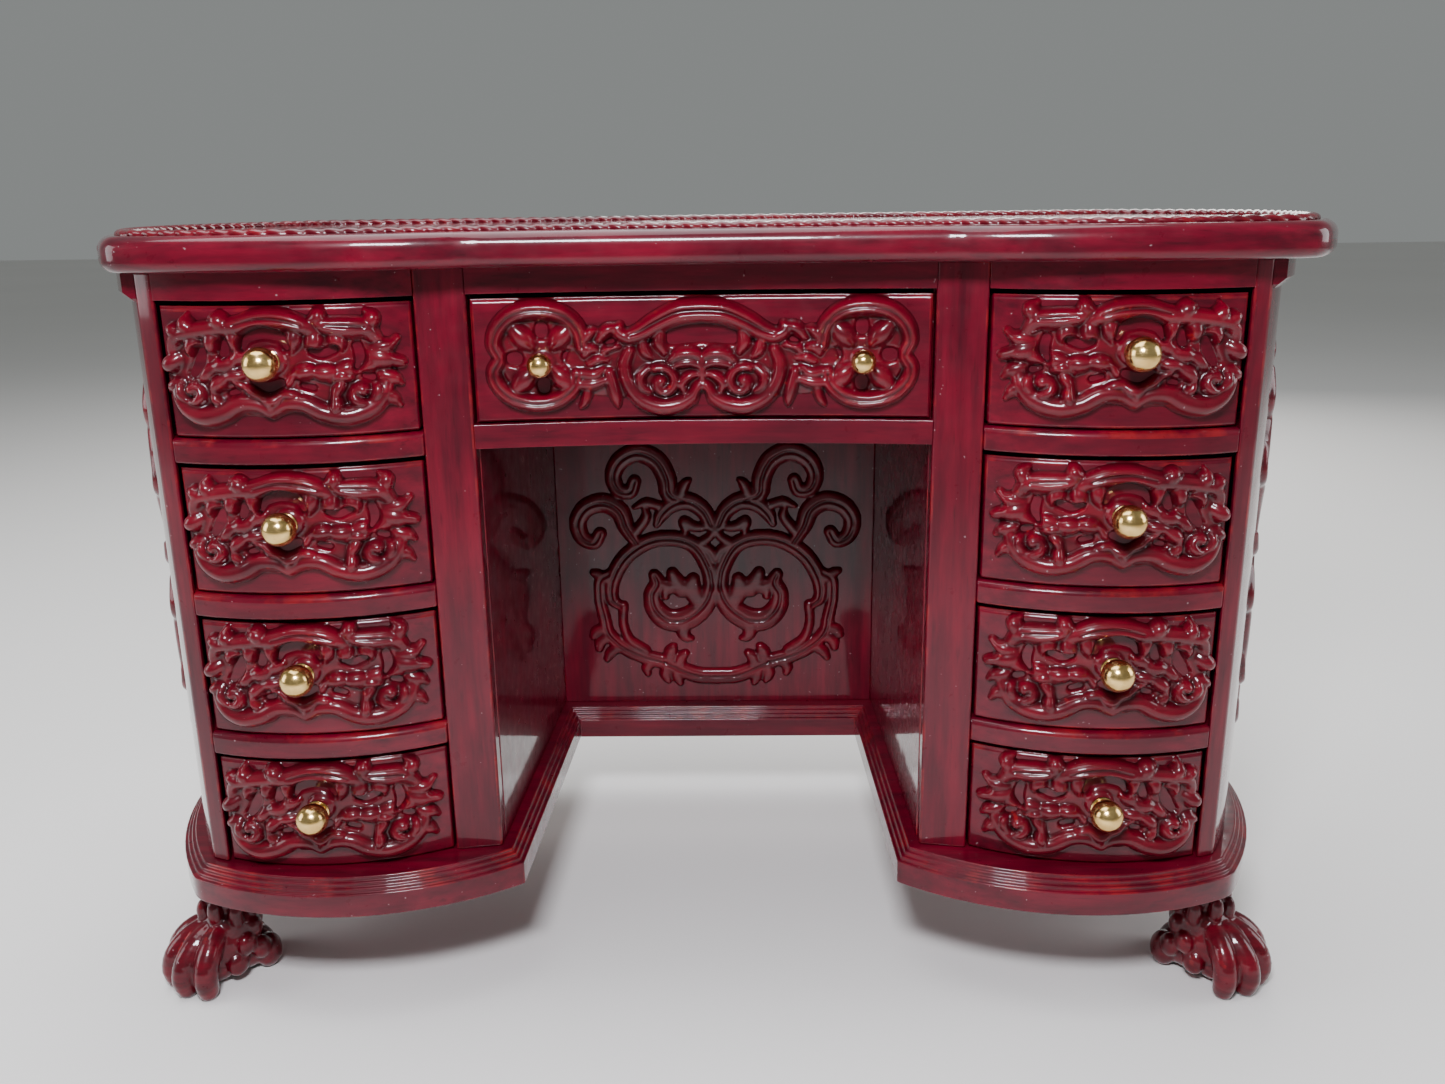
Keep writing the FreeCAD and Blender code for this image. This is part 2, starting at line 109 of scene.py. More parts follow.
# ---- Materials ----
class Nodes:
    """A short way to add shader nodes and link them."""

    def __init__(self, name):
        self.material = bpy.data.materials.new(name)
        self.material.use_nodes = True
        self.tree = self.material.node_tree
        self.tree.nodes.clear()
        self.shader = self.tree.nodes.new("ShaderNodeBsdfPrincipled")
        output = self.tree.nodes.new("ShaderNodeOutputMaterial")
        self.tree.links.new(self.shader.outputs[0], output.inputs["Surface"])
        self.place = self.tree.nodes.new("ShaderNodeTexCoord").outputs["Object"]

    def add(self, kind, inputs=None, **settings):
        node = self.tree.nodes.new(kind)
        for key, value in settings.items():
            setattr(node, key, value)
        for key, value in (inputs or {}).items():
            self.feed(node.inputs[key], value)
        return node

    def feed(self, socket, value):
        if isinstance(value, bpy.types.NodeSocket):
            self.tree.links.new(value, socket)
        else:
            socket.default_value = value

    def stretched(self, scale):
        """Object coordinates times a scale for each axis."""
        return self.add("ShaderNodeMapping", {"Vector": self.place, "Scale": scale}).outputs[0]

    def noise(self, where, scale, detail=4.0, roughness=0.55):
        node = self.add("ShaderNodeTexNoise",
                        {"Vector": where, "Scale": scale, "Detail": detail, "Roughness": roughness})
        return node.outputs["Fac"]

    def between(self, value, low, high, to_low=0.0, to_high=1.0):
        """value mapped from one range to another, kept within it."""
        node = self.add("ShaderNodeMapRange", {"Value": value, "From Min": low, "From Max": high,
                                               "To Min": to_low, "To Max": to_high})
        return node.outputs[0]

    def mix(self, share, first, second, blend="MIX"):
        node = self.add("ShaderNodeMix", data_type="RGBA", blend_type=blend)
        self.feed(node.inputs["Factor"], share)
        self.feed(node.inputs["A"], first)
        self.feed(node.inputs["B"], second)
        return node.outputs["Result"]

    def times(self, first, second):
        return self.add("ShaderNodeMath", {0: first, 1: second}, operation="MULTIPLY").outputs[0]

    def bump(self, height, strength, distance):
        inputs = {"Height": height, "Strength": strength, "Distance": distance}
        return self.add("ShaderNodeBump", inputs).outputs[0]

    def finish(self, **values):
        for key, value in values.items():
            self.feed(self.shader.inputs[key.replace("_", " ")], value)
        return self.material


def lacquered_wood(name, along, deep, bright, wear_and_shade="none"):
    """Stained wood under gloss lacquer; the last argument is none, edge or carved, and edge and carved
    show rubbed spots in a brighter red. Carved also has painted shade in hollows and creases and painted
    light on raised points.
    """
    n = Nodes(name)
    streaks = n.noise(n.stretched(GRAIN_SCALES[along]), 1.0, 5.0, 0.62)
    patches = n.noise(n.place, 110.0, 3.0, 0.5)
    pores = n.noise(n.stretched([3.2 * s for s in GRAIN_SCALES[along]]), 1.0, 2.0, 0.5)
    # darkest is the colour of the pores, and in carved wood also the colour of the painted shade
    darkest = [0.3 * c for c in deep[:3]] + [1.0]
    colour = n.mix(n.between(streaks, 0.3, 0.72), deep, bright)
    colour = n.mix(n.between(patches, 0.38, 0.72, 0.0, 0.5), colour, deep)
    colour = n.mix(n.between(pores, 0.62, 0.76, 0.0, 0.4), colour, darkest)
    if wear_and_shade != "none":
        rub = n.noise(n.place, 420.0, 5.0, 0.6)
    if wear_and_shade == "carved":
        edges = n.add("ShaderNodeNewGeometry").outputs["Pointiness"]
        cavity = n.add("ShaderNodeAttribute", attribute_name="cavity").outputs["Fac"]
        # painted light and shade from the carving's shape: raised points lightened towards the bright red
        # (painted light), hollows darkened (painted shade)
        colour = n.mix(n.between(cavity, 0.05, 0.35, 0.0, 0.7), colour, bright)
        colour = n.mix(n.between(cavity, -0.26, 0.02, 0.94, 0.0), colour, darkest)
        # painted shade: creases, where pointiness is low, darkened
        colour = n.mix(n.between(edges, 0.4, 0.5, 0.8, 0.0), colour, darkest)
        rubbed = n.times(n.between(edges, 0.525, 0.6), n.between(rub, 0.5, 0.66, 0.0, 0.5))
        colour = n.mix(rubbed, colour, WORN)
    elif wear_and_shade == "edge":
        colour = n.mix(n.between(rub, 0.48, 0.68, 0.0, 0.4), colour, WORN)
    dust = n.noise(n.place, 2600.0, 1.0, 0.4)
    colour = n.mix(n.between(dust, 0.775, 0.81, 0.0, 0.4), colour, DUST)
    roughness = n.between(n.noise(n.place, 700.0, 4.0, 0.6), 0.3, 0.7, 0.26, 0.44)
    ripple = n.bump(n.noise(n.place, 260.0, 2.0, 0.5), 0.2, 0.00012)
    return n.finish(Base_Color=colour, Roughness=roughness, Normal=n.bump(streaks, 0.2, 0.00003),
                    Coat_Weight=1.0, Coat_Roughness=0.07, Coat_IOR=1.34, Coat_Normal=ripple,
                    Specular_IOR_Level=0.12)


def drawer_lining_wood(name):
    """Thin satin stain on the drawer boxes, with the grain showing through."""
    n = Nodes(name)
    streaks = n.noise(n.stretched(GRAIN_SCALES["y"]), 1.0, 6.0, 0.65)
    patches = n.noise(n.place, 200.0, 3.0, 0.5)
    colour = n.mix(n.between(streaks, 0.32, 0.7), (0.16, 0.035, 0.022, 1.0), (0.38, 0.115, 0.065, 1.0))
    colour = n.mix(n.between(patches, 0.4, 0.75, 0.0, 0.5), colour, (0.2, 0.03, 0.02, 1.0))
    return n.finish(Base_Color=colour, Roughness=n.between(streaks, 0.3, 0.7, 0.42, 0.6),
                    Normal=n.bump(streaks, 0.4, 0.00006), Coat_Weight=0.25, Coat_Roughness=0.35)


def polished_brass(name):
    """Bright yellow brass with faint cloudy tarnish and hairline scratches."""
    n = Nodes(name)
    cloud = n.noise(n.place, 900.0, 4.0, 0.6)
    hairs = n.noise(n.stretched((6000.0, 1200.0, 9000.0)), 1.0, 2.0, 0.5)
    colour = n.mix(n.between(cloud, 0.35, 0.72), (0.86, 0.6, 0.24, 1.0), (0.62, 0.38, 0.12, 1.0))
    roughness = n.between(hairs, 0.3, 0.7, 0.13, 0.26)
    return n.finish(Base_Color=colour, Metallic=1.0, Roughness=roughness,
                    Normal=n.bump(hairs, 0.12, 0.00002))


def pale_floor(name):
    n = Nodes(name)
    colour = n.mix(n.noise(n.place, 6.0, 3.0, 0.5), (0.74, 0.72, 0.7, 1.0), (0.8, 0.78, 0.76, 1.0))
    return n.finish(Base_Color=colour, Roughness=0.75)


wood = {axis: lacquered_wood("mahogany_" + axis, axis, DEEP, BRIGHT) for axis in "xyz"}
edge_wood = {axis: lacquered_wood("mahogany_edge_" + axis, axis, DEEP, BRIGHT, "edge") for axis in "xyz"}
# carved wood: rubbed wear, with painted shade in hollows and creases and painted light on raised points
carved_wood = lacquered_wood("carved_mahogany", "x", CARVED_DEEP, CARVED_BRIGHT, "carved")
lining = drawer_lining_wood("drawer_lining")
brass = polished_brass("brass")


# ---- Pieces ----
def add_object(name, data):
    made = bpy.data.objects.new(name, data)
    bpy.context.scene.collection.objects.link(made)
    return made


def add_piece(name, mesh, material, body, slot, *nodes):
    """A new piece in the frame of the CAD, on a body, standing for the CAD nodes named."""
    mesh.name = name
    mesh.materials.clear()
    mesh.materials.append(material)
    piece = add_object(name, mesh)
    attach(piece, body)
    if nodes:
        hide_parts(*nodes)
    return piece


def add_carved(name, mesh, body, *nodes):
    add_piece(name, mesh, carved_wood, body, "carved_mahogany", *nodes)


def box_mm(node):
    """A CAD node's lowest and highest corners in millimetres."""
    return [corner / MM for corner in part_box(node)]


def shade(mesh):
    mesh.shade_smooth()
    mesh.set_sharp_from_angle(angle=math.radians(SHARP_ANGLE))


def mesh_from(vertices, faces):
    """A mesh from millimetre points."""
    mesh = bpy.data.meshes.new("made")
    mesh.from_pydata((np.asarray(vertices) * MM).tolist(), [], faces)
    mesh.validate()
    return mesh


def fix_normals(mesh):
    bm = bmesh.new()
    bm.from_mesh(mesh)
    bmesh.ops.recalc_face_normals(bm, faces=bm.faces)
    bm.to_mesh(mesh)
    bm.free()


def softened(node, material, edge_material, body, width, front_width=None, slot="mahogany"):
    """A CAD board copied with its edges rounded over, its top front edges by their own width."""
    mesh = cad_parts[node].data.copy()
    bm = bmesh.new()
    bm.from_mesh(mesh)
    bmesh.ops.remove_doubles(bm, verts=bm.verts, dist=MERGE_DISTANCE)
    if width:
        bmesh.ops.dissolve_limit(bm, angle_limit=math.radians(FLAT_ANGLE), verts=bm.verts, edges=bm.edges)
        front_width = front_width or width
        weights = bm.edges.layers.float.new("bevel_weight_edge")
        for edge in bm.edges:
            if len(edge.link_faces) == 2 and edge.calc_face_angle() > math.radians(SHARP_ANGLE):
                up = max(face.normal.z for face in edge.link_faces)
                ahead = min(face.normal.y for face in edge.link_faces)
                in_front = up > 0.9 and ahead < -0.6
                edge[weights] = 1.0 if in_front else width / front_width
    bm.to_mesh(mesh)
    bm.free()
    for attribute in ("custom_normal", "sharp_edge", "sharp_face"):
        if attribute in mesh.attributes:
            mesh.attributes.remove(mesh.attributes[attribute])
    shade(mesh)
    board = add_piece(node + "_board", mesh, material, body, slot, node)
    mesh.materials.append(edge_material)
    if width:
        bevel = board.modifiers.new("rounding", "BEVEL")
        bevel.width = front_width * MM
        bevel.segments = BEVEL_SEGMENTS
        bevel.limit_method = "WEIGHT"
        bevel.harden_normals = True
        bevel.use_clamp_overlap = True
        bevel.material = 1


# ---- Relief carving: height fields over a rectangle, in millimetres ----
def point_rows(x, y, z):
    """Arrays of coordinates as rows of points."""
    return np.stack([x, y, z], -1).reshape(-1, 3)


def around(angle):
    """The cosine and sine of an angle in degrees."""
    return math.cos(math.radians(angle)), math.sin(math.radians(angle))


def spline(rows, spacing):
    """Dense samples of a Catmull-Rom curve through rows of numbers; the first two are u and v."""
    rows = np.asarray(rows, float)
    ends = np.vstack([2 * rows[0] - rows[1], rows, 2 * rows[-1] - rows[-2]])
    samples = []
    for a, b, c, d in zip(ends, ends[1:], ends[2:], ends[3:]):
        count = max(2, int(np.hypot(*(c - b)[:2]) / spacing))
        for t in np.arange(count) / count:
            samples.append(0.5 * (2 * b + (c - a) * t + (2 * a - 5 * b + 4 * c - d) * t * t
                                  + (3 * b - a - 3 * c + d) * t ** 3))
    samples.append(rows[-1])
    return np.array(samples)


def spiral(centre, start_radius, end_radius, start, end, start_width, end_width, height):
    """Rows for a scroll that winds about a centre; angles in degrees."""
    rows = []
    steps = max(4, int(abs(end - start) / 25))
    for k in range(steps + 1):
        share = k / steps
        angle = math.radians(start + (end - start) * share)
        radius = start_radius + (end_radius - start_radius) * share ** 0.8
        rows.append((centre[0] + radius * math.cos(angle), centre[1] + radius * math.sin(angle),
                     start_width + (end_width - start_width) * share, height))
    return rows


class Relief:
    """A carved surface. Heights are above the board; strokes are rows of (u, v, half width, height)."""

    def __init__(self, width, height, step, middle=None):
        self.step = step
        self.middle = middle
        self.wobble = 0.0
        self.u = np.linspace(0, width, int(round(width / step)) + 1)
        self.v = np.linspace(0, height, int(round(height / step)) + 1)
        self.h = np.zeros((len(self.v), len(self.u)))

    def dabs(self, field, rows, power):
        """Domes along a curve, kept where they stand higher than what is there."""
        for k, (u, v, radius, height) in enumerate(spline(rows, self.step)):
            swell = 1 + self.wobble * math.sin(2 * math.pi * k * self.step / WOBBLE_LENGTH)
            radius, height = max(radius * swell, 1e-3), height * (1 + 0.6 * (swell - 1))
            i0, i1 = np.searchsorted(self.u, (u - radius, u + radius))
            j0, j1 = np.searchsorted(self.v, (v - radius, v + radius))
            if i0 == i1 or j0 == j1:
                continue
            across = (self.u[None, i0:i1] - u) ** 2 + (self.v[j0:j1, None] - v) ** 2
            dome = height * np.clip(1 - across / radius ** 2, 0, 1) ** power
            field[j0:j1, i0:i1] = np.maximum(field[j0:j1, i0:i1], dome)

    def both(self, rows):
        """The rows, and their mirror images where the design is symmetric."""
        if self.middle is None:
            return [rows]
        return [[(self.middle + u, v, w, h) for u, v, w, h in rows],
                [(self.middle - u, v, w, h) for u, v, w, h in rows]]

    def stroke(self, *rows, power=0.5, full=FULLNESS):
        for side in self.both([(u, v, w * full, h * BOLDNESS) for u, v, w, h in rows]):
            self.dabs(self.h, side, power)

    def leaf(self, root, middle, tip, width, height):
        """A pointed leaf with a vein."""
        self.stroke((*root, 0.45 * width, 0.8 * height), (*middle, 0.62 * width, height),
                    (*tip, 0.16 * width, 0.7 * height), full=1.0)
        self.cut((*root, 0.12 * width, 0.3 * height), (*middle, 0.15 * width, 0.5 * height),
                 (*tip, 0.06 * width, 0.1 * height))

    def plate(self, *rows):
        """Flat-topped wood left standing under the carving."""
        self.stroke(*rows, power=0.15, full=1.0)

    def boss(self, u, v, radius, height):
        """A round flat boss; it stands on its own centre, wherever the middle is."""
        self.dabs(self.h, [(u, v, radius, height), (u + 0.02, v, radius, height)], 0.25)

    def cut(self, *rows, power=1.0):
        """A groove: each row's height is how deep it goes."""
        field = np.zeros_like(self.h)
        for side in self.both(rows):
            self.dabs(field, side, power)
        self.h -= field

    def pierce(self, *rows):
        """A hole right down to the board."""
        mask = np.zeros_like(self.h)
        for side in self.both([(u, v, w * FULLNESS, 1.0) for u, v, w in rows]):
            self.dabs(mask, side, 0.35)
        self.h *= 1 - mask

    def soften(self, passes):
        for _ in range(passes):
            for axis in (0, 1):
                ahead = np.roll(self.h, 1, axis)
                behind = np.roll(self.h, -1, axis)
                self.h = 0.5 * self.h + 0.25 * (ahead + behind)
        self.h[[0, -1], :] = 0
        self.h[:, [0, -1]] = 0

    def mesh(self, surface):
        """A closed mesh; surface(u, v, h) gives millimetre points for arrays of u, v and height."""
        grid_u, grid_v = np.meshgrid(self.u, self.v)
        rows, columns = self.h.shape
        index = np.arange(rows * columns).reshape(rows, columns)
        quads = np.stack([index[:-1, :-1], index[:-1, 1:], index[1:, 1:], index[1:, :-1]], -1)
        edge = np.concatenate([index[0, :], index[1:, -1], index[-1, -2::-1], index[-2:0:-1, 0]])
        front = surface(grid_u, grid_v, self.h - RELIEF_BURIED)
        back = surface(grid_u, grid_v, np.full_like(self.h, -RELIEF_BACK))[edge]
        ring = rows * columns + np.arange(len(edge))
        walls = np.stack([edge, ring, np.roll(ring, -1), np.roll(edge, -1)], -1)
        corner = columns + rows - 2
        bottom, right = ring[:columns], ring[columns:corner]
        top, left = ring[corner:corner + columns][::-1], ring[corner + columns:]
        strips = np.stack([bottom[1:-2], top[1:-2], top[2:-1], bottom[2:-1]], -1)
        ends = [[bottom[0], *left[::-1], top[0], top[1], bottom[1]],
                [bottom[-2], top[-2], top[-1], *right[::-1], bottom[-1]]]
        faces = quads.reshape(-1, 4).tolist() + walls.tolist() + strips.tolist()
        mesh = mesh_from(np.concatenate([front, back]), faces + [[int(k) for k in end] for end in ends])
        fix_normals(mesh)
        mesh.shade_smooth()
        # the cavity attribute is what the carved material turns into painted shade in hollows and painted
        # light on raised points
        values = np.concatenate([self.cavity().ravel(), np.zeros(len(edge))])
        mesh.attributes.new("cavity", "FLOAT", "POINT").data.foreach_set("value", values)
        return mesh

    def cavity(self):
        """How far each point stands above the carving round it; hollows are negative."""
        reach = int(CAVITY_REACH / self.step)
        kernel = np.hanning(2 * reach + 3)
        level = self.h
        for axis in (0, 1):
            level = np.apply_along_axis(np.convolve, axis, level, kernel / kernel.sum(), "same")
        return self.h - level


def front_curve(node):
    """The bowed or hollow face of a drawer front: y and the outward normal for arrays of x."""
    points = np.array([v.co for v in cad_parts[node].data.vertices]) / MM
    top = points[points[:, 2] > points[:, 2].max() - 0.01]
    face = top[top[:, 1] < points[:, 1].max() - 0.05]
    terms = np.polyfit(face[:, 0], face[:, 1], 4)
    slope = np.polyder(terms)

    def curve(x):
        y = np.polyval(terms, x)
        lean = np.polyval(slope, x)
        length = np.hypot(lean, 1.0)
        return y, lean / length, -1.0 / length
    return curve


def on_front(node, side=1):
    """Puts a relief on a drawer front; u runs from the kneehole outwards on a pedestal."""
    low, high = box_mm(node)
    curve = front_curve(node)
    start = low.x if side > 0 else high.x

    def surface(u, v, h):
        x = start + side * u
        y, normal_x, normal_y = curve(x)
        return point_rows(x + normal_x * h, y + normal_y * h, low.z + v)
    return surface


def drawer_carving_relief(width, height, knob):
    """The lopsided cartouche of a pedestal drawer, from the kneehole side outwards."""
    r = Relief(width, height, DRAWER_RELIEF_STEP)
    lift = (height - 9.35) / 2
    r.v -= lift
    # ground of the cartouche
    r.plate((3.1, 5.6, 1.8, 0.3), (5.2, 5.7, 2.4, 0.32), (8.2, 5.5, 2.9, 0.32), (11.5, 5.4, 3.0, 0.32),
            (14.3, 5.2, 2.8, 0.32), (15.9, 5.0, 2.0, 0.3))
    r.plate((3.4, 3.0, 1.4, 0.3), (5.3, 2.7, 1.6, 0.32), (8.0, 3.1, 1.4, 0.32), (10.2, 2.9, 1.5, 0.32),
            (12.6, 2.9, 1.4, 0.32), (15.0, 2.7, 1.6, 0.32), (16.0, 3.2, 1.3, 0.3))
    # wavy lower edge of two lobes with a cusp between
    r.stroke((1.9, 4.3, 0.35, 0.5), (2.2, 3.0, 0.5, 0.75), (3.1, 1.9, 0.62, 0.85), (4.7, 1.35, 0.66, 0.9),
             (6.3, 1.6, 0.62, 0.85), (7.7, 2.35, 0.58, 0.78), (9.0, 2.35, 0.5, 0.72),
             (10.1, 1.75, 0.42, 0.66))
    r.stroke((10.1, 1.75, 0.42, 0.66), (11.0, 2.35, 0.5, 0.72), (12.3, 2.4, 0.58, 0.8),
             (13.6, 1.75, 0.64, 0.88), (15.1, 1.45, 0.66, 0.9), (16.4, 2.0, 0.58, 0.84),
             (17.05, 3.1, 0.48, 0.74), (17.2, 4.1, 0.34, 0.5))
    # upper band arched over the knob, with a second line under it
    r.stroke((6.5, 7.5, 0.4, 0.62), (7.3, 8.05, 0.55, 0.86), (8.5, 8.45, 0.62, 0.92),
             (10.3, 8.55, 0.62, 0.92), (12.0, 8.15, 0.58, 0.86), (13.6, 8.0, 0.52, 0.78),
             (15.3, 7.75, 0.52, 0.8), (16.7, 7.35, 0.48, 0.78), (17.2, 6.5, 0.4, 0.62),
             (17.0, 5.6, 0.34, 0.55))
    r.stroke((2.5, 7.0, 0.42, 0.62), (3.2, 7.75, 0.6, 0.84), (4.5, 7.85, 0.66, 0.9),
             (5.8, 8.05, 0.52, 0.82), (6.6, 8.5, 0.34, 0.66))
    r.cut((3.3, 7.9, 0.14, 0.26), (4.6, 8.0, 0.16, 0.32), (5.8, 8.1, 0.12, 0.22))
    r.cut((7.4, 8.15, 0.12, 0.22), (8.7, 8.55, 0.16, 0.34), (10.3, 8.65, 0.16, 0.34),
          (12.0, 8.25, 0.12, 0.22))
    r.wobble = WOBBLE
    # leaf tips that break the outline
    for tip in (((2.9, 7.9, 0.36, 0.66), (2.6, 8.6, 0.34, 0.72), (3.0, 9.0, 0.16, 0.42)),
                ((6.3, 8.2, 0.34, 0.66), (6.2, 8.8, 0.32, 0.72), (6.0, 9.15, 0.16, 0.42)),
                ((12.9, 8.0, 0.4, 0.72), (13.3, 8.6, 0.4, 0.84), (13.9, 8.75, 0.2, 0.5)),
                ((15.5, 7.7, 0.36, 0.72), (15.9, 8.4, 0.34, 0.8), (15.8, 8.95, 0.15, 0.42)),
                ((16.4, 7.4, 0.34, 0.7), (17.0, 7.9, 0.32, 0.76), (17.5, 7.9, 0.16, 0.42)),
                ((2.7, 5.6, 0.5, 0.62), (1.7, 5.35, 0.46, 0.84), (0.9, 5.1, 0.24, 0.5)),
                ((2.5, 6.2, 0.38, 0.6), (1.6, 6.5, 0.32, 0.74), (1.1, 6.9, 0.18, 0.45)),
                ((2.1, 4.2, 0.36, 0.56), (1.4, 3.9, 0.3, 0.62), (1.0, 3.5, 0.18, 0.42)),
                ((2.3, 2.8, 0.36, 0.6), (1.6, 2.4, 0.3, 0.62), (1.2, 1.9, 0.16, 0.42)),
                ((17.0, 5.7, 0.4, 0.6), (17.5, 5.3, 0.4, 0.78), (17.9, 4.9, 0.2, 0.5)),
                ((16.9, 3.9, 0.34, 0.6), (17.5, 3.7, 0.28, 0.62), (17.9, 3.3, 0.16, 0.42))):
        r.stroke(*[(u, v, w + 0.08, h) for u, v, w, h in tip])
    # pendants under the upper band
    for u, top, length, lean in ((5.2, 7.3, 1.1, -0.2), (6.6, 7.4, 1.2, 0.1), (7.9, 7.6, 1.4, 0.2),
                                 (12.4, 7.6, 1.5, -0.3), (13.9, 7.5, 1.2, 0.1), (15.3, 7.2, 1.1, 0.3)):
        r.stroke((u, top, 0.42, 0.66), (u + lean, top - 0.6 * length, 0.46, 0.72),
                 (u + 1.6 * lean, top - length, 0.22, 0.52))
    # body of the carving either side of the knob
    r.stroke((2.6, 5.2, 0.44, 0.56), (4.2, 4.9, 0.46, 0.64), (5.9, 4.6, 0.48, 0.8),
             (7.2, 4.75, 0.46, 0.84), (8.2, 4.5, 0.34, 0.66), (8.7, 3.9, 0.25, 0.5))
    r.stroke((12.0, 4.6, 0.34, 0.62), (13.0, 4.4, 0.42, 0.74), (14.0, 3.7, 0.4, 0.78),
             (14.1, 2.8, 0.34, 0.74), (13.6, 2.4, 0.22, 0.56))
    r.stroke((11.6, 6.2, 0.4, 0.56), (12.8, 5.4, 0.5, 0.62), (14.2, 5.0, 0.46, 0.62),
             (15.0, 4.3, 0.36, 0.56))
    # volutes inside each lobe
    r.stroke(*spiral((3.75, 3.0), 1.15, 0.25, 160, 470, 0.3, 0.42, 0.84))
    r.stroke(*spiral((15.7, 3.3), 1.1, 0.25, 20, -300, 0.3, 0.4, 0.82))
    r.stroke((5.0, 3.9, 0.3, 0.66), (5.45, 3.0, 0.36, 0.86), (5.5, 2.1, 0.36, 0.92),
             (5.9, 1.5, 0.28, 0.8))
    r.stroke((4.4, 4.2, 0.28, 0.66), (5.1, 4.3, 0.34, 0.8), (5.8, 4.0, 0.24, 0.62))
    # sprig under the knob
    r.stroke((8.0, 2.9, 0.22, 0.55), (9.0, 3.1, 0.32, 0.72), (10.0, 2.6, 0.36, 0.84),
             (10.9, 3.1, 0.32, 0.74), (11.7, 3.6, 0.26, 0.66), (12.5, 4.1, 0.22, 0.55))
    r.stroke((9.9, 2.7, 0.3, 0.8), (10.1, 2.0, 0.26, 0.66), (10.1, 1.5, 0.15, 0.5))
    r.wobble = 0.0
    # pierced openings and the arched hollow over the knob
    for hole in (((3.75, 6.5, 0.3), (3.6, 5.6, 0.34), (3.9, 4.9, 0.22)),
                 ((5.3, 6.3, 0.28), (6.2, 6.0, 0.3), (6.9, 6.2, 0.22)),
                 ((13.1, 6.8, 0.38), (13.3, 6.1, 0.34)),
                 ((15.0, 6.3, 0.36), (15.3, 5.4, 0.44), (15.9, 4.6, 0.3)),
                 ((2.9, 4.1, 0.26), (3.4, 4.25, 0.2)),
                 ((7.0, 3.5, 0.22), (7.7, 3.7, 0.2)),
                 ((12.6, 3.3, 0.24), (13.1, 3.2, 0.2)),
                 ((8.6, 6.5, 0.22), (9.0, 7.25, 0.34), (10.2, 7.6, 0.42), (11.4, 7.2, 0.34),
                  (11.8, 6.5, 0.2)),
                 ((9.3, 3.9, 0.3), (10.3, 3.6, 0.36), (11.2, 4.0, 0.26))):
        r.pierce(*hole)
    r.v += lift
    r.boss(*knob, 1.15, 0.95)
    r.soften(2)
    return r


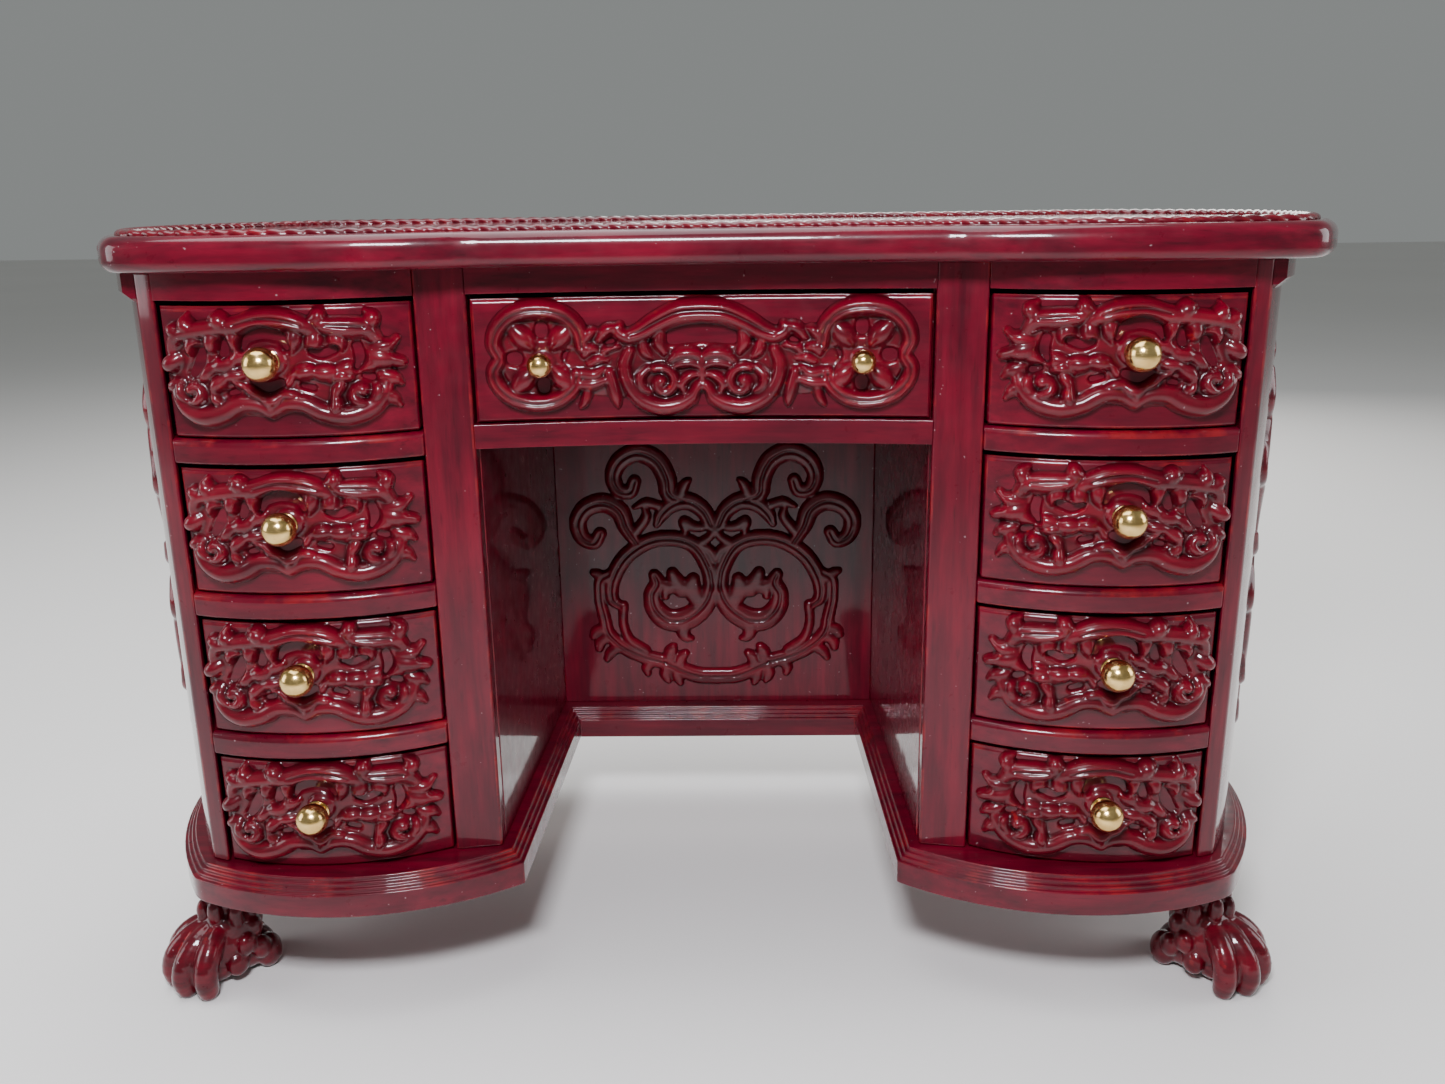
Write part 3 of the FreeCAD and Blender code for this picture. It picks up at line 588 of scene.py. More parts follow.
def centre_carving_relief(width, height, knobs):
    """The centre drawer's carving: a big arch over two volutes between knob cartouches, symmetric."""
    r = Relief(width, height, CENTRE_RELIEF_STEP, middle=width / 2)
    # cartouche round each knob: a notched double ring of petals
    ring = [(9.2, 5.6, 0.42, 0.8), (9.5, 7.0, 0.52, 0.88), (10.6, 8.1, 0.56, 0.92),
            (12.4, 8.5, 0.58, 0.94),
            (14.3, 8.2, 0.56, 0.92), (15.5, 7.2, 0.52, 0.86), (15.9, 6.0, 0.46, 0.8),
            (15.5, 4.9, 0.42, 0.74),
            (16.0, 3.9, 0.44, 0.76), (15.7, 2.8, 0.48, 0.8), (14.6, 1.8, 0.52, 0.84),
            (12.9, 1.35, 0.54, 0.86),
            (11.2, 1.6, 0.52, 0.84), (10.0, 2.5, 0.48, 0.8), (9.7, 3.5, 0.42, 0.74)]
    r.plate((12.3, 4.9, 3.2, 0.34), (12.35, 4.9, 3.2, 0.34))
    r.plate((0.0, 3.6, 2.6, 0.3), (3.0, 3.4, 2.4, 0.32), (6.5, 4.0, 2.2, 0.34), (9.0, 4.2, 1.4, 0.32))
    r.stroke(*ring)
    r.cut(*[(u, v, 0.15, 0.34) for u, v, _, _ in ring])
    for angle in (48, 132, 228, 312):
        out_u, out_v = around(angle)
        r.stroke((12.25 + 2.9 * out_u, 4.85 + 2.9 * out_v, 0.5, 0.72),
                 (12.25 + 2.1 * out_u, 4.85 + 2.1 * out_v, 0.66, 0.84),
                 (12.25 + 1.3 * out_u, 4.85 + 1.3 * out_v, 0.4, 0.66))
    for angle in (0, 90, 180, 270):
        out_u, out_v = around(angle)
        r.pierce((12.25 + 2.0 * out_u, 4.85 + 2.0 * out_v, 0.48),
                 (12.25 + 2.3 * out_u, 4.85 + 2.3 * out_v, 0.44))
    # leafy link between cartouche and arch
    r.stroke((6.0, 4.6, 1.3, 0.3), (7.6, 4.3, 1.9, 0.34), (9.0, 4.2, 1.2, 0.3), power=0.25)
    for leaf in (((9.2, 6.0, 0.36, 0.62), (8.6, 6.7, 0.36, 0.78), (8.1, 6.9, 0.2, 0.5)),
                 ((9.0, 5.1, 0.36, 0.62), (8.6, 5.5, 0.4, 0.8), (8.0, 5.3, 0.22, 0.5)),
                 ((8.6, 4.4, 0.36, 0.62), (8.0, 4.7, 0.36, 0.76), (7.3, 4.6, 0.22, 0.55)),
                 ((9.3, 3.6, 0.36, 0.62), (8.4, 3.5, 0.42, 0.8), (7.7, 3.9, 0.26, 0.6)),
                 ((9.8, 2.8, 0.36, 0.66), (8.6, 2.8, 0.44, 0.86), (7.4, 3.1, 0.34, 0.7)),
                 ((7.9, 6.2, 0.28, 0.6), (7.3, 6.9, 0.4, 0.84), (6.4, 7.1, 0.3, 0.7)),
                 ((7.6, 5.2, 0.28, 0.6), (7.0, 5.7, 0.36, 0.78), (6.4, 5.6, 0.22, 0.55)),
                 ((7.2, 3.6, 0.38, 0.72), (6.9, 2.4, 0.42, 0.8), (6.7, 1.5, 0.34, 0.7),
                  (6.6, 0.9, 0.14, 0.4)),
                 ((8.9, 2.3, 0.32, 0.62), (9.1, 1.5, 0.3, 0.66), (9.5, 0.95, 0.16, 0.4))):
        r.stroke(*leaf)
    # arch of two lines, curled at its ends
    r.stroke((0.0, 8.2, 0.76, 0.94), (1.8, 8.05, 0.74, 0.94), (3.4, 7.4, 0.68, 0.92),
             (4.6, 6.7, 0.6, 0.9), (5.6, 6.35, 0.52, 0.86), (6.4, 6.7, 0.42, 0.8), (6.3, 7.2, 0.3, 0.7))
    r.cut((0.0, 8.3, 0.22, 0.46), (1.8, 8.15, 0.22, 0.46), (3.4, 7.5, 0.2, 0.42), (4.7, 6.8, 0.17, 0.36),
          (5.6, 6.5, 0.12, 0.24))
    # volutes below the arch, touching in the middle
    r.stroke((0.25, 2.6, 0.34, 0.72), (0.8, 1.7, 0.46, 0.82), (1.9, 1.1, 0.54, 0.88),
             (3.4, 0.95, 0.56, 0.9), (4.9, 1.6, 0.52, 0.86), (5.8, 2.9, 0.48, 0.82),
             (6.0, 4.2, 0.44, 0.76), (5.6, 5.3, 0.38, 0.7))
    r.stroke(*spiral((3.05, 2.75), 1.35, 0.25, 60, 400, 0.3, 0.44, 0.86))
    r.stroke((0.2, 3.5, 0.26, 0.62), (1.0, 3.3, 0.32, 0.78), (1.6, 2.7, 0.34, 0.8), (1.4, 2.0, 0.22, 0.6))
    r.stroke((4.2, 3.9, 0.3, 0.66), (4.8, 3.3, 0.36, 0.82), (4.7, 2.5, 0.32, 0.78), (4.1, 2.1, 0.2, 0.6))
    # palmette of two spread wings in the middle
    r.stroke((0.0, 4.7, 0.3, 0.7), (0.8, 5.05, 0.4, 0.84), (1.8, 4.95, 0.38, 0.82), (2.5, 4.4, 0.24, 0.6))
    r.stroke((0.0, 4.0, 0.28, 0.66), (0.9, 4.35, 0.36, 0.78), (1.9, 4.2, 0.32, 0.74),
             (2.4, 3.8, 0.2, 0.5))
    r.stroke((0.0, 4.6, 0.34, 0.76), (0.0, 3.4, 0.3, 0.72), (0.0, 2.6, 0.16, 0.5))
    r.stroke((3.1, 6.9, 0.3, 0.6), (3.3, 5.9, 0.42, 0.74), (2.9, 5.1, 0.26, 0.55))
    r.stroke((4.6, 6.1, 0.3, 0.6), (4.4, 5.2, 0.38, 0.7), (3.9, 4.7, 0.2, 0.5))
    for hole in (((0.0, 6.6, 0.6), (1.4, 6.4, 0.55), (2.3, 6.0, 0.3)), ((6.9, 6.0, 0.25),
                                                                        (7.3, 5.9, 0.2)),
                 ((0.0, 1.2, 0.3), (0.0, 1.9, 0.22))):
        r.pierce(*hole)
    for u, v in knobs:
        r.boss(u, v, 0.9, 0.8)
    r.soften(2)
    return r


def kneehole_relief(width, height):
    """Low strapwork scrolls about a diamond, symmetric; sizes are for a panel 34 mm high."""
    r = Relief(width, height, PANEL_RELIEF_STEP, middle=width / 2)

    def strap(*points, line=True):
        """A flat band, with a thin groove along its middle where line is true."""
        r.stroke(*[(u, v, 1.08 * w, STRAP_HEIGHT) for u, v, w in points], power=0.24)
        if line:
            grooves.append([(u, v, 0.13, STRAP_HEIGHT * 0.6) for u, v, _ in points])

    grooves = []
    # two big C rings that meet in the middle
    strap((0.35, 12.8, 0.6), (0.75, 15.2, 0.62), (2.2, 17.6, 0.62), (4.6, 18.4, 0.6), (7.2, 18.0, 0.6),
          (9.6, 16.3, 0.6), (11.0, 13.8, 0.58), (11.1, 11.8, 0.48), (10.2, 10.9, 0.34))
    strap((0.4, 13.2, 0.6), (0.9, 11.6, 0.74), (2.0, 10.2, 0.85), (3.6, 9.3, 0.9), (5.3, 9.4, 0.85),
          (6.5, 10.6, 0.75), (6.8, 12.2, 0.62), (6.2, 13.4, 0.6), (6.5, 14.4, 0.42))
    # arches over the diamond
    strap((0.4, 19.8, 0.5), (1.2, 21.4, 0.62), (2.7, 22.4, 0.66), (4.4, 22.1, 0.62), (5.6, 21.0, 0.5),
          (6.1, 19.9, 0.26))
    # upper scrolls, turning outwards
    strap((3.2, 22.4, 0.4), (4.7, 23.2, 0.62), (5.0, 25.0, 0.7), (6.0, 26.8, 0.72), (7.9, 27.6, 0.7),
          (9.7, 26.8, 0.66), (10.5, 25.2, 0.6), (10.0, 23.7, 0.56), (8.8, 23.5, 0.52), (8.3, 24.6, 0.46))
    # side scrolls
    strap((8.2, 17.8, 0.4), (9.3, 19.6, 0.6), (10.0, 21.4, 0.7), (11.6, 22.3, 0.72), (13.4, 21.8, 0.68),
          (14.4, 20.3, 0.62), (14.0, 18.6, 0.58), (12.8, 18.0, 0.52), (12.1, 19.0, 0.46))
    # outer frame running down to the link at the bottom
    strap((11.3, 14.6, 0.36), (12.3, 13.8, 0.4), (12.4, 11.8, 0.42), (12.0, 9.6, 0.46), (11.6, 7.8, 0.5),
          (10.0, 6.2, 0.56), (8.0, 5.2, 0.58), (5.6, 4.5, 0.6))
    strap((5.6, 4.5, 0.6), (3.8, 3.6, 0.62), (2.0, 2.95, 0.64), (0.0, 2.85, 0.64))
    # plain bands: curls, sprouts, the diamond's sides and leaf sprigs
    for band in (
            ((1.9, 11.2, 0.5), (3.0, 12.8, 0.6), (4.2, 13.2, 0.55), (5.3, 12.8, 0.42), (5.4, 12.0, 0.32)),
            ((2.0, 11.8, 0.6), (2.6, 13.0, 0.7), (2.4, 13.9, 0.46)),
            ((3.6, 12.8, 0.7), (4.3, 13.8, 0.6), (4.6, 14.6, 0.42)),
            ((5.0, 13.0, 0.6), (5.9, 13.4, 0.5)),
            ((3.2, 9.4, 0.55), (3.6, 8.2, 0.55), (3.3, 7.4, 0.4), (2.7, 7.2, 0.22)),
            ((0.0, 19.4, 0.34), (0.6, 18.5, 0.34), (1.6, 17.8, 0.34), (0.6, 17.2, 0.34),
             (0.0, 16.2, 0.34)),
            ((1.3, 19.6, 0.34), (2.3, 19.7, 0.4), (3.2, 20.2, 0.42), (3.1, 19.3, 0.3)),
            ((3.6, 23.0, 0.42), (3.1, 24.2, 0.38), (2.6, 24.7, 0.18)),
            ((6.0, 22.0, 0.38), (7.2, 22.3, 0.36), (8.4, 21.8, 0.18)),
            ((8.9, 18.6, 0.4), (8.0, 19.6, 0.4), (7.2, 20.8, 0.36), (7.4, 21.9, 0.18)),
            ((9.9, 11.0, 0.34), (10.0, 9.0, 0.34), (9.4, 7.2, 0.36), (7.7, 5.9, 0.38)),
            ((5.2, 4.6, 0.5), (5.0, 5.6, 0.52), (4.7, 6.2, 0.34)),
            ((4.1, 4.0, 0.46), (3.9, 5.0, 0.46), (3.4, 5.5, 0.3)),
            ((5.4, 4.0, 0.46), (5.6, 3.1, 0.44), (5.3, 2.4, 0.28)),
            ((4.4, 3.4, 0.44), (4.3, 2.7, 0.4), (4.0, 2.1, 0.26)),
            ((7.0, 4.6, 0.46), (7.6, 3.9, 0.4), (7.5, 3.2, 0.26)),
            ((11.6, 7.6, 0.46), (12.5, 6.9, 0.44), (12.7, 6.1, 0.3)),
            ((11.9, 8.4, 0.42), (12.9, 8.1, 0.4), (13.3, 7.5, 0.26)),
            ((10.4, 6.4, 0.44), (11.4, 5.7, 0.42), (11.9, 4.9, 0.26)),
            ((11.7, 13.9, 0.42), (12.5, 14.5, 0.38), (13.0, 14.7, 0.26))):
        strap(*band, line=False)
    for groove in grooves:
        r.cut(*groove)
    r.soften(1)
    return r


def ball_places(node):
    """The middles and the radius of a knob node's balls, from its box and its meshes' two halves."""
    low, high = box_mm(node)
    xs = np.array([v.co.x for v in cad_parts[node].data.vertices]) / MM
    groups = [xs[xs < 0], xs[xs > 0]] if low.x < 0 < high.x else [xs]
    radius = np.ptp(groups[0]) / 2
    return [((g.min() + g.max()) / 2, low.y + radius, (low.z + high.z) / 2) for g in groups], radius


def add_drawer_carvings():
    for body, sign in PEDESTAL_DRAWERS.items():
        low, high = box_mm(body + "_front")
        (x, _, z), = ball_places(body + "_knob")[0]
        start = low.x if sign > 0 else high.x
        relief = drawer_carving_relief(high.x - low.x, high.z - low.z, (sign * (x - start), z - low.z))
        mesh = relief.mesh(on_front(body + "_front", sign))
        add_carved(body + "_cartouche", mesh, body, body + "_carving")


def add_centre_carving():
    low, high = box_mm("centre_drawer_front")
    knobs = [(x - low.x, z - low.z) for x, _, z in ball_places("centre_drawer_knobs")[0]]
    relief = centre_carving_relief(high.x - low.x, high.z - low.z, knobs)
    mesh = relief.mesh(on_front("centre_drawer_front"))
    add_carved("centre_drawer_scrollwork", mesh, "centre_drawer", "centre_drawer_carving")


def add_kneehole_carving():
    low, high = box_mm("kneehole_back")
    margin, lift, height = KNEEHOLE_CARVING

    def surface(u, v, h):
        return point_rows(low.x + margin + u, low.y - h, low.z + lift + v)
    relief = kneehole_relief(high.x - low.x - 2 * margin, height)
    add_carved("kneehole_back_strapwork", relief.mesh(surface), "carcase")


def end_carving_relief(width, height):
    """A tall leafy cartouche of C scrolls about a palmette, symmetric; drawn 26 wide and 42 high."""
    r = Relief(width, height, END_RELIEF_STEP, middle=width / 2)
    r.plate((0.0, 8.0, 5.0, 0.2), (0.0, 20.0, 8.2, 0.22), (0.0, 32.0, 6.0, 0.2))
    for scroll in (
            ((0.0, 2.2, 0.7), (3.0, 1.9, 0.85), (6.4, 3.4, 0.95), (8.6, 6.6, 0.9), (8.0, 9.8, 0.8),
             (5.6, 10.6, 0.7), (4.4, 8.8, 0.6), (5.4, 7.4, 0.5)),
            ((8.4, 8.2, 0.6), (10.6, 11.4, 0.85), (11.0, 15.4, 0.9), (9.2, 19.0, 0.75), (8.8, 21.2, 0.6)),
            ((8.8, 20.4, 0.6), (9.6, 24.0, 0.8), (11.2, 27.6, 0.9), (10.6, 31.8, 0.9), (8.0, 34.8, 0.85),
             (5.4, 34.2, 0.75), (4.8, 31.8, 0.65), (6.4, 30.8, 0.55)),
            ((0.0, 39.6, 0.8), (2.2, 38.9, 0.85), (4.0, 36.8, 0.8), (6.0, 35.2, 0.6)),
            ((0.0, 13.4, 0.6), (2.6, 12.2, 0.75), (5.2, 13.4, 0.8), (6.6, 16.4, 0.8), (6.2, 20.0, 0.8),
             (7.0, 24.0, 0.75), (5.8, 27.8, 0.75), (3.0, 29.8, 0.75), (0.0, 29.4, 0.65))):
        r.stroke(*[(u, v, w, 0.5) for u, v, w in scroll])
        r.cut(*[(u, v, 0.22, 0.22) for u, v, _ in scroll])
    # palmette, crest and pendant
    for angle in (90, 58, 26, -8, -42, -90):
        out_u, out_v = around(angle)
        r.stroke((0.8 * out_u, 20.8 + 0.8 * out_v, 0.5, 0.4),
                 (2.8 * out_u, 20.8 + 3.2 * out_v, 0.9, 0.55),
                 (4.4 * out_u, 20.8 + 5.6 * out_v, 0.5, 0.42))
    r.stroke((0.0, 20.4, 1.1, 0.6), (0.0, 21.2, 1.1, 0.6))
    for leaf in (((0.0, 31.8), (1.4, 33.6), (2.9, 35.4), 1.5), ((0.0, 31.4), (0.0, 33.6),
                                                                (0.0, 36.4), 1.5),
                 ((0.0, 10.9), (0.0, 8.6), (0.0, 5.0), 1.6), ((0.3, 10.6), (1.9, 9.4), (3.0, 7.0), 1.3),
                 ((7.0, 5.0), (9.4, 5.2), (11.0, 7.4), 1.5), ((9.8, 9.4), (11.6, 9.8), (12.4, 12.0), 1.3),
                 ((10.9, 15.4), (12.2, 17.0), (11.4, 19.6), 1.4), ((8.8, 20.8), (10.8, 21.0),
                                                                   (12.4, 22.6), 1.5),
                 ((11.0, 26.4), (12.3, 27.6), (12.4, 30.0), 1.3), ((10.4, 31.6), (11.6, 33.6),
                                                                   (10.8, 36.0), 1.5),
                 ((7.2, 35.2), (8.6, 37.0), (7.6, 39.2), 1.4), ((2.6, 38.6), (4.4, 39.2),
                                                                (5.2, 41.0), 1.3),
                 ((4.6, 2.4), (6.6, 1.4), (8.8, 2.4), 1.3), ((6.8, 18.2), (7.8, 20.0), (7.0, 22.0), 1.1)):
        r.leaf(*leaf, 0.52)
    r.stroke((0.0, 39.8, 1.0, 0.5), (0.0, 40.2, 1.0, 0.5))
    r.soften(2)
    return r


def outer_face(node, first_y, last_y, side):
    """The outside of a curved end panel: a surface for a relief, and how long it is on the curve."""
    loop = top_loops(node)[0]
    ahead = np.roll(loop, -1, 0)
    rows = []
    for y in np.linspace(first_y, last_y, 160):
        hit = (loop[:, 1] - y) * (ahead[:, 1] - y) < 0
        share = (y - loop[hit, 1]) / (ahead[hit, 1] - loop[hit, 1])
        rows.append((np.max(side * (loop[hit, 0] + share * (ahead[hit, 0] - loop[hit, 0]))), y))
    x, y = np.array(rows).T
    terms = np.polyfit(y, x, 7)
    slope = np.polyder(terms)
    x = np.polyval(terms, y)
    along = np.concatenate([[0], np.cumsum(np.hypot(np.diff(x), np.diff(y)))])

    def surface(u, v, h):
        at_y = np.interp(u, along, y)
        lean = np.polyval(slope, at_y)
        length = np.hypot(lean, 1.0)
        out_x = np.polyval(terms, at_y) + h / length
        return point_rows(side * out_x, at_y - h * lean / length, END_CARVING[2] + v)
    return surface, along[-1]


def add_end_carvings():
    first_y, last_y, _, height = END_CARVING
    for side, sign in SIDES.items():
        surface, width = outer_face(side + "_end_panel", first_y, last_y, sign)
        relief = end_carving_relief(width, height)
        add_carved(side + "_end_cartouche", relief.mesh(surface), "carcase")


def add_back_carving():
    """The ends' cartouche three times across the back panel."""
    width, lowest, height = BACK_CARVING
    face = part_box("back_panel")[1].y / MM
    for number, middle in enumerate((-width, 0.0, width)):
        def surface(u, v, h):
            return point_rows(middle + width / 2 - u, face + h, lowest + v)
        relief = end_carving_relief(width, height)
        add_carved("back_cartouche_%d" % (number + 1), relief.mesh(surface), "carcase")


# ---- Knobs, rope border and feet ----
def turned(profile, centre, sides):
    """A lathe shape about the Y axis; profile rows are (radius, y), from the tip backwards."""
    points, faces = [(centre[0], centre[1] + profile[0][1], centre[2])], []
    for radius, y in profile[1:]:
        for k in range(sides):
            angle = 2 * math.pi * k / sides
            points.append((centre[0] + radius * math.cos(angle), centre[1] + y,
                           centre[2] + radius * math.sin(angle)))
    for k in range(sides):
        faces.append((0, 1 + k, 1 + (k + 1) % sides))
    for ring in range(len(profile) - 2):
        for k in range(sides):
            a = 1 + ring * sides + k
            b = 1 + ring * sides + (k + 1) % sides
            faces.append((a, a + sides, b + sides, b))
    last = 1 + (len(profile) - 2) * sides
    faces.append(tuple(range(last, last + sides)))
    return points, faces


def knob_profile(radius, depth):
    """Ball, neck, collar and stem, as rows of (radius, y); y = 0 is the ball's middle."""
    rows = [(0.0, -radius)]
    for degrees in range(6, 150, 6):
        angle = math.radians(degrees)
        rows.append((radius * math.sin(angle), -radius * math.cos(angle)))
    for share, back in ((0.5, 0.88), (0.62, 0.92), (0.74, 0.98), (0.76, 1.06), (0.7, 1.14), (0.46, 1.18)):
        rows.append((share * radius, back * radius))
    return rows + [(0.46 * radius, depth + 0.3)]


def add_knob_piece(node, front, body, name):
    places, radius = ball_places(node)
    points, faces = [], []
    for centre in places:
        face_y = float(front_curve(front)(centre[0])[0])
        more, more_faces = turned(knob_profile(radius, face_y - centre[1]), centre, KNOB_SIDES)
        faces += [tuple(k + len(points) for k in face) for face in more_faces]
        points += more
    mesh = mesh_from(points, faces)
    fix_normals(mesh)
    shade(mesh)
    add_piece(name, mesh, brass, body, "brass", node)


def add_knobs():
    for body in PEDESTAL_DRAWERS:
        add_knob_piece(body + "_knob", body + "_front", body, body + "_ball_knob")
    body = "centre_drawer"
    add_knob_piece(body + "_knobs", body + "_front", body, body + "_ball_knobs")


def top_loops(node):
    """The closed outlines of a node's top face, longest first, as (x, y) rows in millimetres."""
    bm = bmesh.new()
    bm.from_mesh(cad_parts[node].data)
    bmesh.ops.remove_doubles(bm, verts=bm.verts, dist=MERGE_DISTANCE)
    top = max(v.co.z for v in bm.verts)
    links = {}
    for edge in bm.edges:
        level = all(abs(v.co.z - top) < 1e-6 for v in edge.verts)
        flat = [abs(f.normal.z) > 0.9 for f in edge.link_faces]
        if level and len(flat) == 2 and flat[0] != flat[1]:
            a, b = edge.verts
            links.setdefault(a, []).append(b)
            links.setdefault(b, []).append(a)
    loops, seen = [], set()
    for start in links:
        if start in seen:
            continue
        loop, previous, current = [start], None, start
        while True:
            seen.add(current)
            ahead = [v for v in links[current] if v is not previous and (v not in seen or v is start)]
            if not ahead or ahead[0] is start:
                break
            previous, current = current, ahead[0]
            loop.append(current)
        loops.append(np.array([(v.co.x, v.co.y) for v in loop]) / MM)
    bm.free()
    return sorted(loops, key=lambda loop: -np.ptp(loop[:, 0]))


def resampled(loop, spacing):
    """A closed loop at even spacing, and its length."""
    closed = np.vstack([loop, loop[:1]])
    along = np.concatenate([[0], np.cumsum(np.hypot(*np.diff(closed, axis=0).T))])
    count = int(along[-1] / spacing)
    at = np.linspace(0, along[-1], count, endpoint=False)
    return np.stack([np.interp(at, along, closed[:, k]) for k in (0, 1)], -1), along[-1]


def sideways(path):
    """Unit vectors across a closed path, one at each of its points."""
    ahead = np.roll(path, -1, 0) - np.roll(path, 1, 0)
    ahead /= np.hypot(*ahead.T)[:, None]
    return np.stack([ahead[:, 1], -ahead[:, 0]], -1)


def add_rope_border():
    """Two strands twisted together, half sunk in the top, round its edge."""
    outer, inner = top_loops("rope_border")[:2]
    slab_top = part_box("top_slab")[1].z / MM
    outer, _ = resampled(outer, ROPE_STEP)
    reach = int(ROPE_SMOOTHING / ROPE_STEP)
    kernel = np.hanning(2 * reach + 1)
    kernel /= kernel.sum()
    width = np.min(np.hypot(*(inner[:, None, :] - outer[None, ::7, :]).transpose(2, 0, 1)))
    smooth = np.stack([np.convolve(np.concatenate([outer[-reach:, k], outer[:, k], outer[:reach, k]]),
                                   kernel, "valid") for k in (0, 1)], -1)
    across = sideways(smooth)
    if np.sum((smooth - smooth.mean(0)) * across) > 0:
        across = -across
    path, length = resampled(smooth + across * width / 2, ROPE_STEP)
    across = sideways(path)
    count = len(path)
    total = count * ROPE_SIDES
    turns = 2 * math.pi * round(length / ROPE_PITCH) / count
    radius = width / 2
    points, faces = [], []
    for k in range(count):
        for j in range(ROPE_SIDES):
            angle = 2 * math.pi * j / ROPE_SIDES
            strand = abs(math.cos(angle + 0.5 * turns * k))
            size = radius * (ROPE_WAIST + ROPE_SWELL * strand ** 0.8)
            x, y = path[k] + across[k] * size * math.cos(angle)
            points.append((x, y, slab_top + ROPE_LIFT + ROPE_FLATNESS * size * math.sin(angle)))
            a, b = k * ROPE_SIDES + j, k * ROPE_SIDES + (j + 1) % ROPE_SIDES
            c, d = a + ROPE_SIDES, b + ROPE_SIDES
            faces.append((a, b, d % total, c % total))
    mesh = mesh_from(points, faces)
    fix_normals(mesh)
    mesh.shade_smooth()
    add_carved("rope_moulding", mesh, "carcase", "rope_border")


def paw_lumps(height):
    """Rounded lumps of a paw that faces +X, as (centre, radii, turn about Z in degrees)."""
    lumps = [((0.0, 0, height - 0.5), (2.5, 2.5, 1.4), 0), ((-0.1, 0, height - 2.6), (2.0, 2.0, 2.4), 0),
             ((0.1, 0, 4.8), (2.7, 2.6, 2.1), 0), ((1.2, 0, 3.3), (3.3, 2.7, 2.7), 0),
             ((-0.6, 0, 1.8), (2.8, 2.4, 1.9), 0), ((2.0, 0, 1.4), (2.4, 2.3, 1.5), 0)]
    for angle in TOE_ANGLES:
        turn = math.radians(angle)
        long = 1.0 if abs(angle) < 20 else 0.93
        for reach, z, size in spline(TOE_RIDGE, 0.35):
            middle = (reach * long * math.cos(turn), reach * long * math.sin(turn), z)
            lumps.append((middle, (size, 0.92 * size, size), angle))
    for side in (-1, 1):
        lumps += [((-2.2, side * 1.7, 1.5), (1.3, 1.1, 1.6), side * 30),
                  ((-1.3, side * 2.5, 2.6), (0.9, 0.7, 1.1), side * 20),
                  ((0.0, side * 2.7, 3.5), (0.9, 0.6, 1.0), side * 12),
                  ((0.9, side * 2.6, 1.9), (1.0, 0.6, 1.1), side * 8),
                  ((-1.0, side * 2.1, 4.6), (0.8, 0.7, 1.0), side * 20)]
    for k in range(TUFTS):
        angle = 360 / TUFTS * k + 12
        turn = math.radians(angle)
        low = 6.3 + 0.5 * (k % 2)
        lumps.append(((2.25 * math.cos(turn), 2.25 * math.sin(turn), low), (0.6, 0.62, 1.25), angle))
    return lumps


def paw_skin(height):
    """The lumps merged into one skin and smoothed, with a groove left between the toes."""
    bm = bmesh.new()
    for centre, radii, angle in paw_lumps(height):
        ball = bmesh.ops.create_icosphere(bm, subdivisions=3, radius=1.0)["verts"]
        shape = (Matrix.Translation(centre) @ Matrix.Rotation(math.radians(angle), 4, "Z")
                 @ Matrix.Diagonal((*radii, 1.0)))
        bmesh.ops.transform(bm, matrix=shape, verts=ball)
    mesh = bpy.data.meshes.new("paw")
    bm.to_mesh(mesh)
    bm.free()
    rough = add_object("paw", mesh)
    skin = rough.modifiers.new("skin", "REMESH")
    skin.mode = "VOXEL"
    skin.voxel_size = PAW_VOXEL
    smooth = rough.modifiers.new("smooth", "SMOOTH")
    smooth.factor = 0.5
    smooth.iterations = 4
    bpy.context.view_layer.update()
    graph = bpy.context.evaluated_depsgraph_get()
    made = bpy.data.meshes.new_from_object(rough.evaluated_get(graph))
    bpy.data.objects.remove(rough)
    return made


def add_feet():
    """A paw for each foot, turned outwards and centred on its CAD node."""
    for side, sign in SIDES.items():
        for place, turn in (("front", -45), ("back", 45)):
            node = "%s_%s_foot" % (side, place)
            low, high = box_mm(node)
            paw = paw_skin(high.z)
            bm = bmesh.new()
            bm.from_mesh(paw)
            for vertex in bm.verts:
                vertex.co.z = min(max(vertex.co.z, 0.0), high.z)
            bmesh.ops.rotate(bm, verts=bm.verts, matrix=Matrix.Rotation(math.radians(turn), 3, "Z"))
            if sign < 0:
                bmesh.ops.scale(bm, verts=bm.verts, vec=(-1, 1, 1))
                bmesh.ops.reverse_faces(bm, faces=bm.faces)
            lowest = Vector([min(v.co[k] for v in bm.verts) for k in range(3)])
            highest = Vector([max(v.co[k] for v in bm.verts) for k in range(3)])
            shift = (low + high) / 2 - (lowest + highest) / 2
            bmesh.ops.translate(bm, verts=bm.verts, vec=(shift.x, shift.y, 0))
            bmesh.ops.scale(bm, verts=bm.verts, vec=(MM, MM, MM))
            bm.to_mesh(paw)
            bm.free()
            paw.shade_smooth()
            add_carved(node + "_paw", paw, "carcase", node)


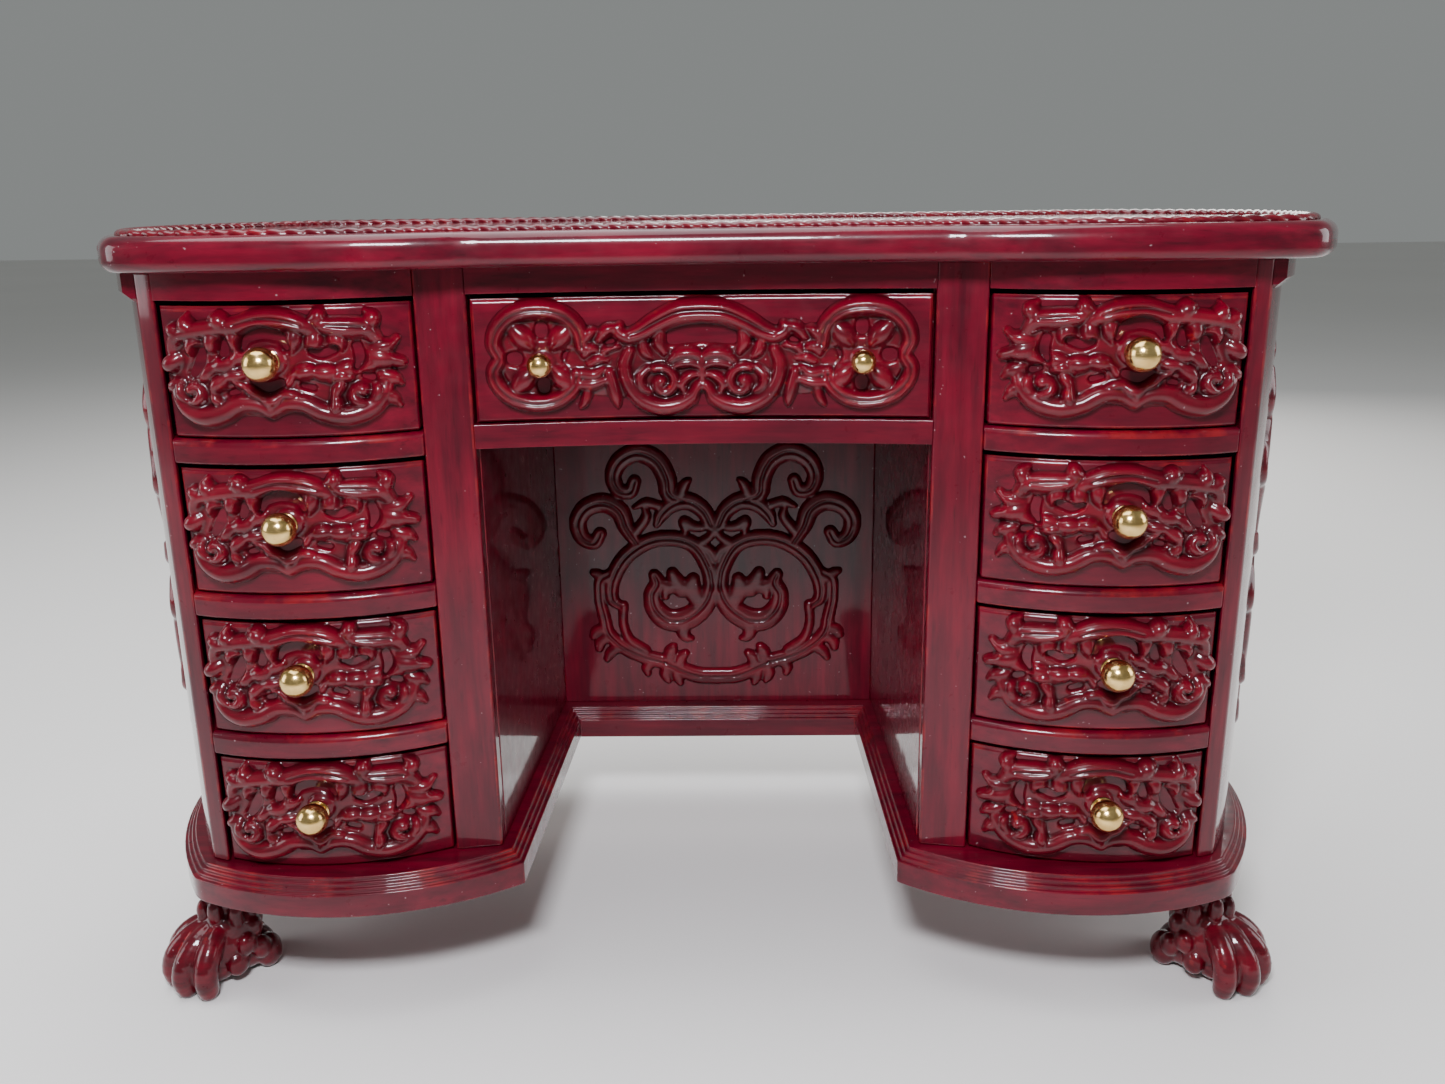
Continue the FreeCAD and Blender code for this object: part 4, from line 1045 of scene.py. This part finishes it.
# ---- Boards ----
def add_boards():
    """Every board, with its grain and how far its edges are rounded over; 0 leaves it as it is."""
    boards = {"top_slab": ("x", 0, None), "cove_moulding": ("x", 0, None),
              "frieze_rails": ("x", 0.12, None), "back_panel": ("x", 0.2, None),
              "kneehole_back": ("z", *SIDE_ROUNDING), "centre_shelf": ("x", *SHELF_ROUNDING),
              "base_plinth": ("x", 0.13, None)}
    for side in SIDES:
        boards[side + "_end_panel"] = ("z", *PLAIN_ROUNDING)
        boards[side + "_inner_stile"] = ("z", *PLAIN_ROUNDING)
        boards[side + "_kneehole_side"] = ("z", *SIDE_ROUNDING)
        for k in (1, 2, 3):
            boards["%s_shelf_%d" % (side, k)] = ("x", *SHELF_ROUNDING)
    for node, (grain, *rounding) in boards.items():
        softened(node, wood[grain], edge_wood[grain], "carcase", *rounding)
    for body in [*PEDESTAL_DRAWERS, "centre_drawer"]:
        softened(body + "_front", wood["x"], edge_wood["x"], body, *FRONT_ROUNDING)
        softened(body + "_tray", lining, lining, body, TRAY_ROUNDING, slot="drawer_lining")


# ---- Camera, lights and floor ----
def add_camera():
    pitch, yaw, roll = CAMERA_ANGLES
    turn = Matrix.Rotation(roll, 3, "Y") @ Matrix.Rotation(pitch, 3, "X") @ Matrix.Rotation(-yaw, 3, "Z")
    data = bpy.data.cameras.new("camera")
    data.sensor_width = SENSOR_WIDTH
    data.lens = FOCAL_SHARE * SENSOR_WIDTH
    data.clip_start, data.clip_end = 0.005, 10.0
    camera = add_object("camera", data)
    right, ahead, up = turn
    look = Matrix((right, up, -ahead)).transposed()
    camera.matrix_world = Matrix.Translation(Vector(CAMERA_PLACE) * MM) @ look.to_4x4()
    bpy.context.scene.camera = camera


def add_light(name, place, target, size, watts, colour):
    data = bpy.data.lights.new(name, "AREA")
    data.shape = "RECTANGLE"
    data.size, data.size_y = [s * MM for s in size]
    data.energy = watts
    data.color = colour
    light = add_object(name, data)
    light.location = Vector(place) * MM
    light.rotation_euler = (Vector(place) - Vector(target)).to_track_quat("Z", "Y").to_euler()


def add_lights():
    """Soft area lights: place, target and size in millimetres, then watts and colour."""
    add_light("key", (-8, -112, 124), (0, -5, 34), (30, 20), 0.29, (0.92, 0.93, 1.0))
    add_light("overhead", (-40, 30, 280), (0, 0, 30), (260, 200), 0.85, DAYLIGHT)
    add_light("left_fill", (-280, -60, 110), (0, 0, 30), (120, 150), 0.26, DAYLIGHT)
    add_light("right_fill", (280, -20, 120), (0, 0, 30), (120, 150), 0.3, DAYLIGHT)
    add_light("back_fill", (60, 280, 150), (0, 0, 30), (200, 150), 0.42, (1.0, 0.98, 0.96))
    world = bpy.data.worlds.new("studio")
    world.use_nodes = True
    background = world.node_tree.nodes["Background"].inputs
    background["Color"].default_value = (0.8, 0.84, 0.83, 1.0)
    background["Strength"].default_value = 0.3
    bpy.context.scene.world = world


def add_floor():
    bm = bmesh.new()
    bmesh.ops.create_grid(bm, x_segments=1, y_segments=1, size=FLOOR_SIZE)
    mesh = bpy.data.meshes.new("floor")
    bm.to_mesh(mesh)
    bm.free()
    mesh.materials.append(pale_floor("pale_floor"))
    add_object("floor", mesh)


add_camera()
add_lights()
add_floor()
add_boards()
add_drawer_carvings()
add_centre_carving()
add_kneehole_carving()
add_end_carvings()
add_back_carving()
add_knobs()
add_rope_border()
add_feet()
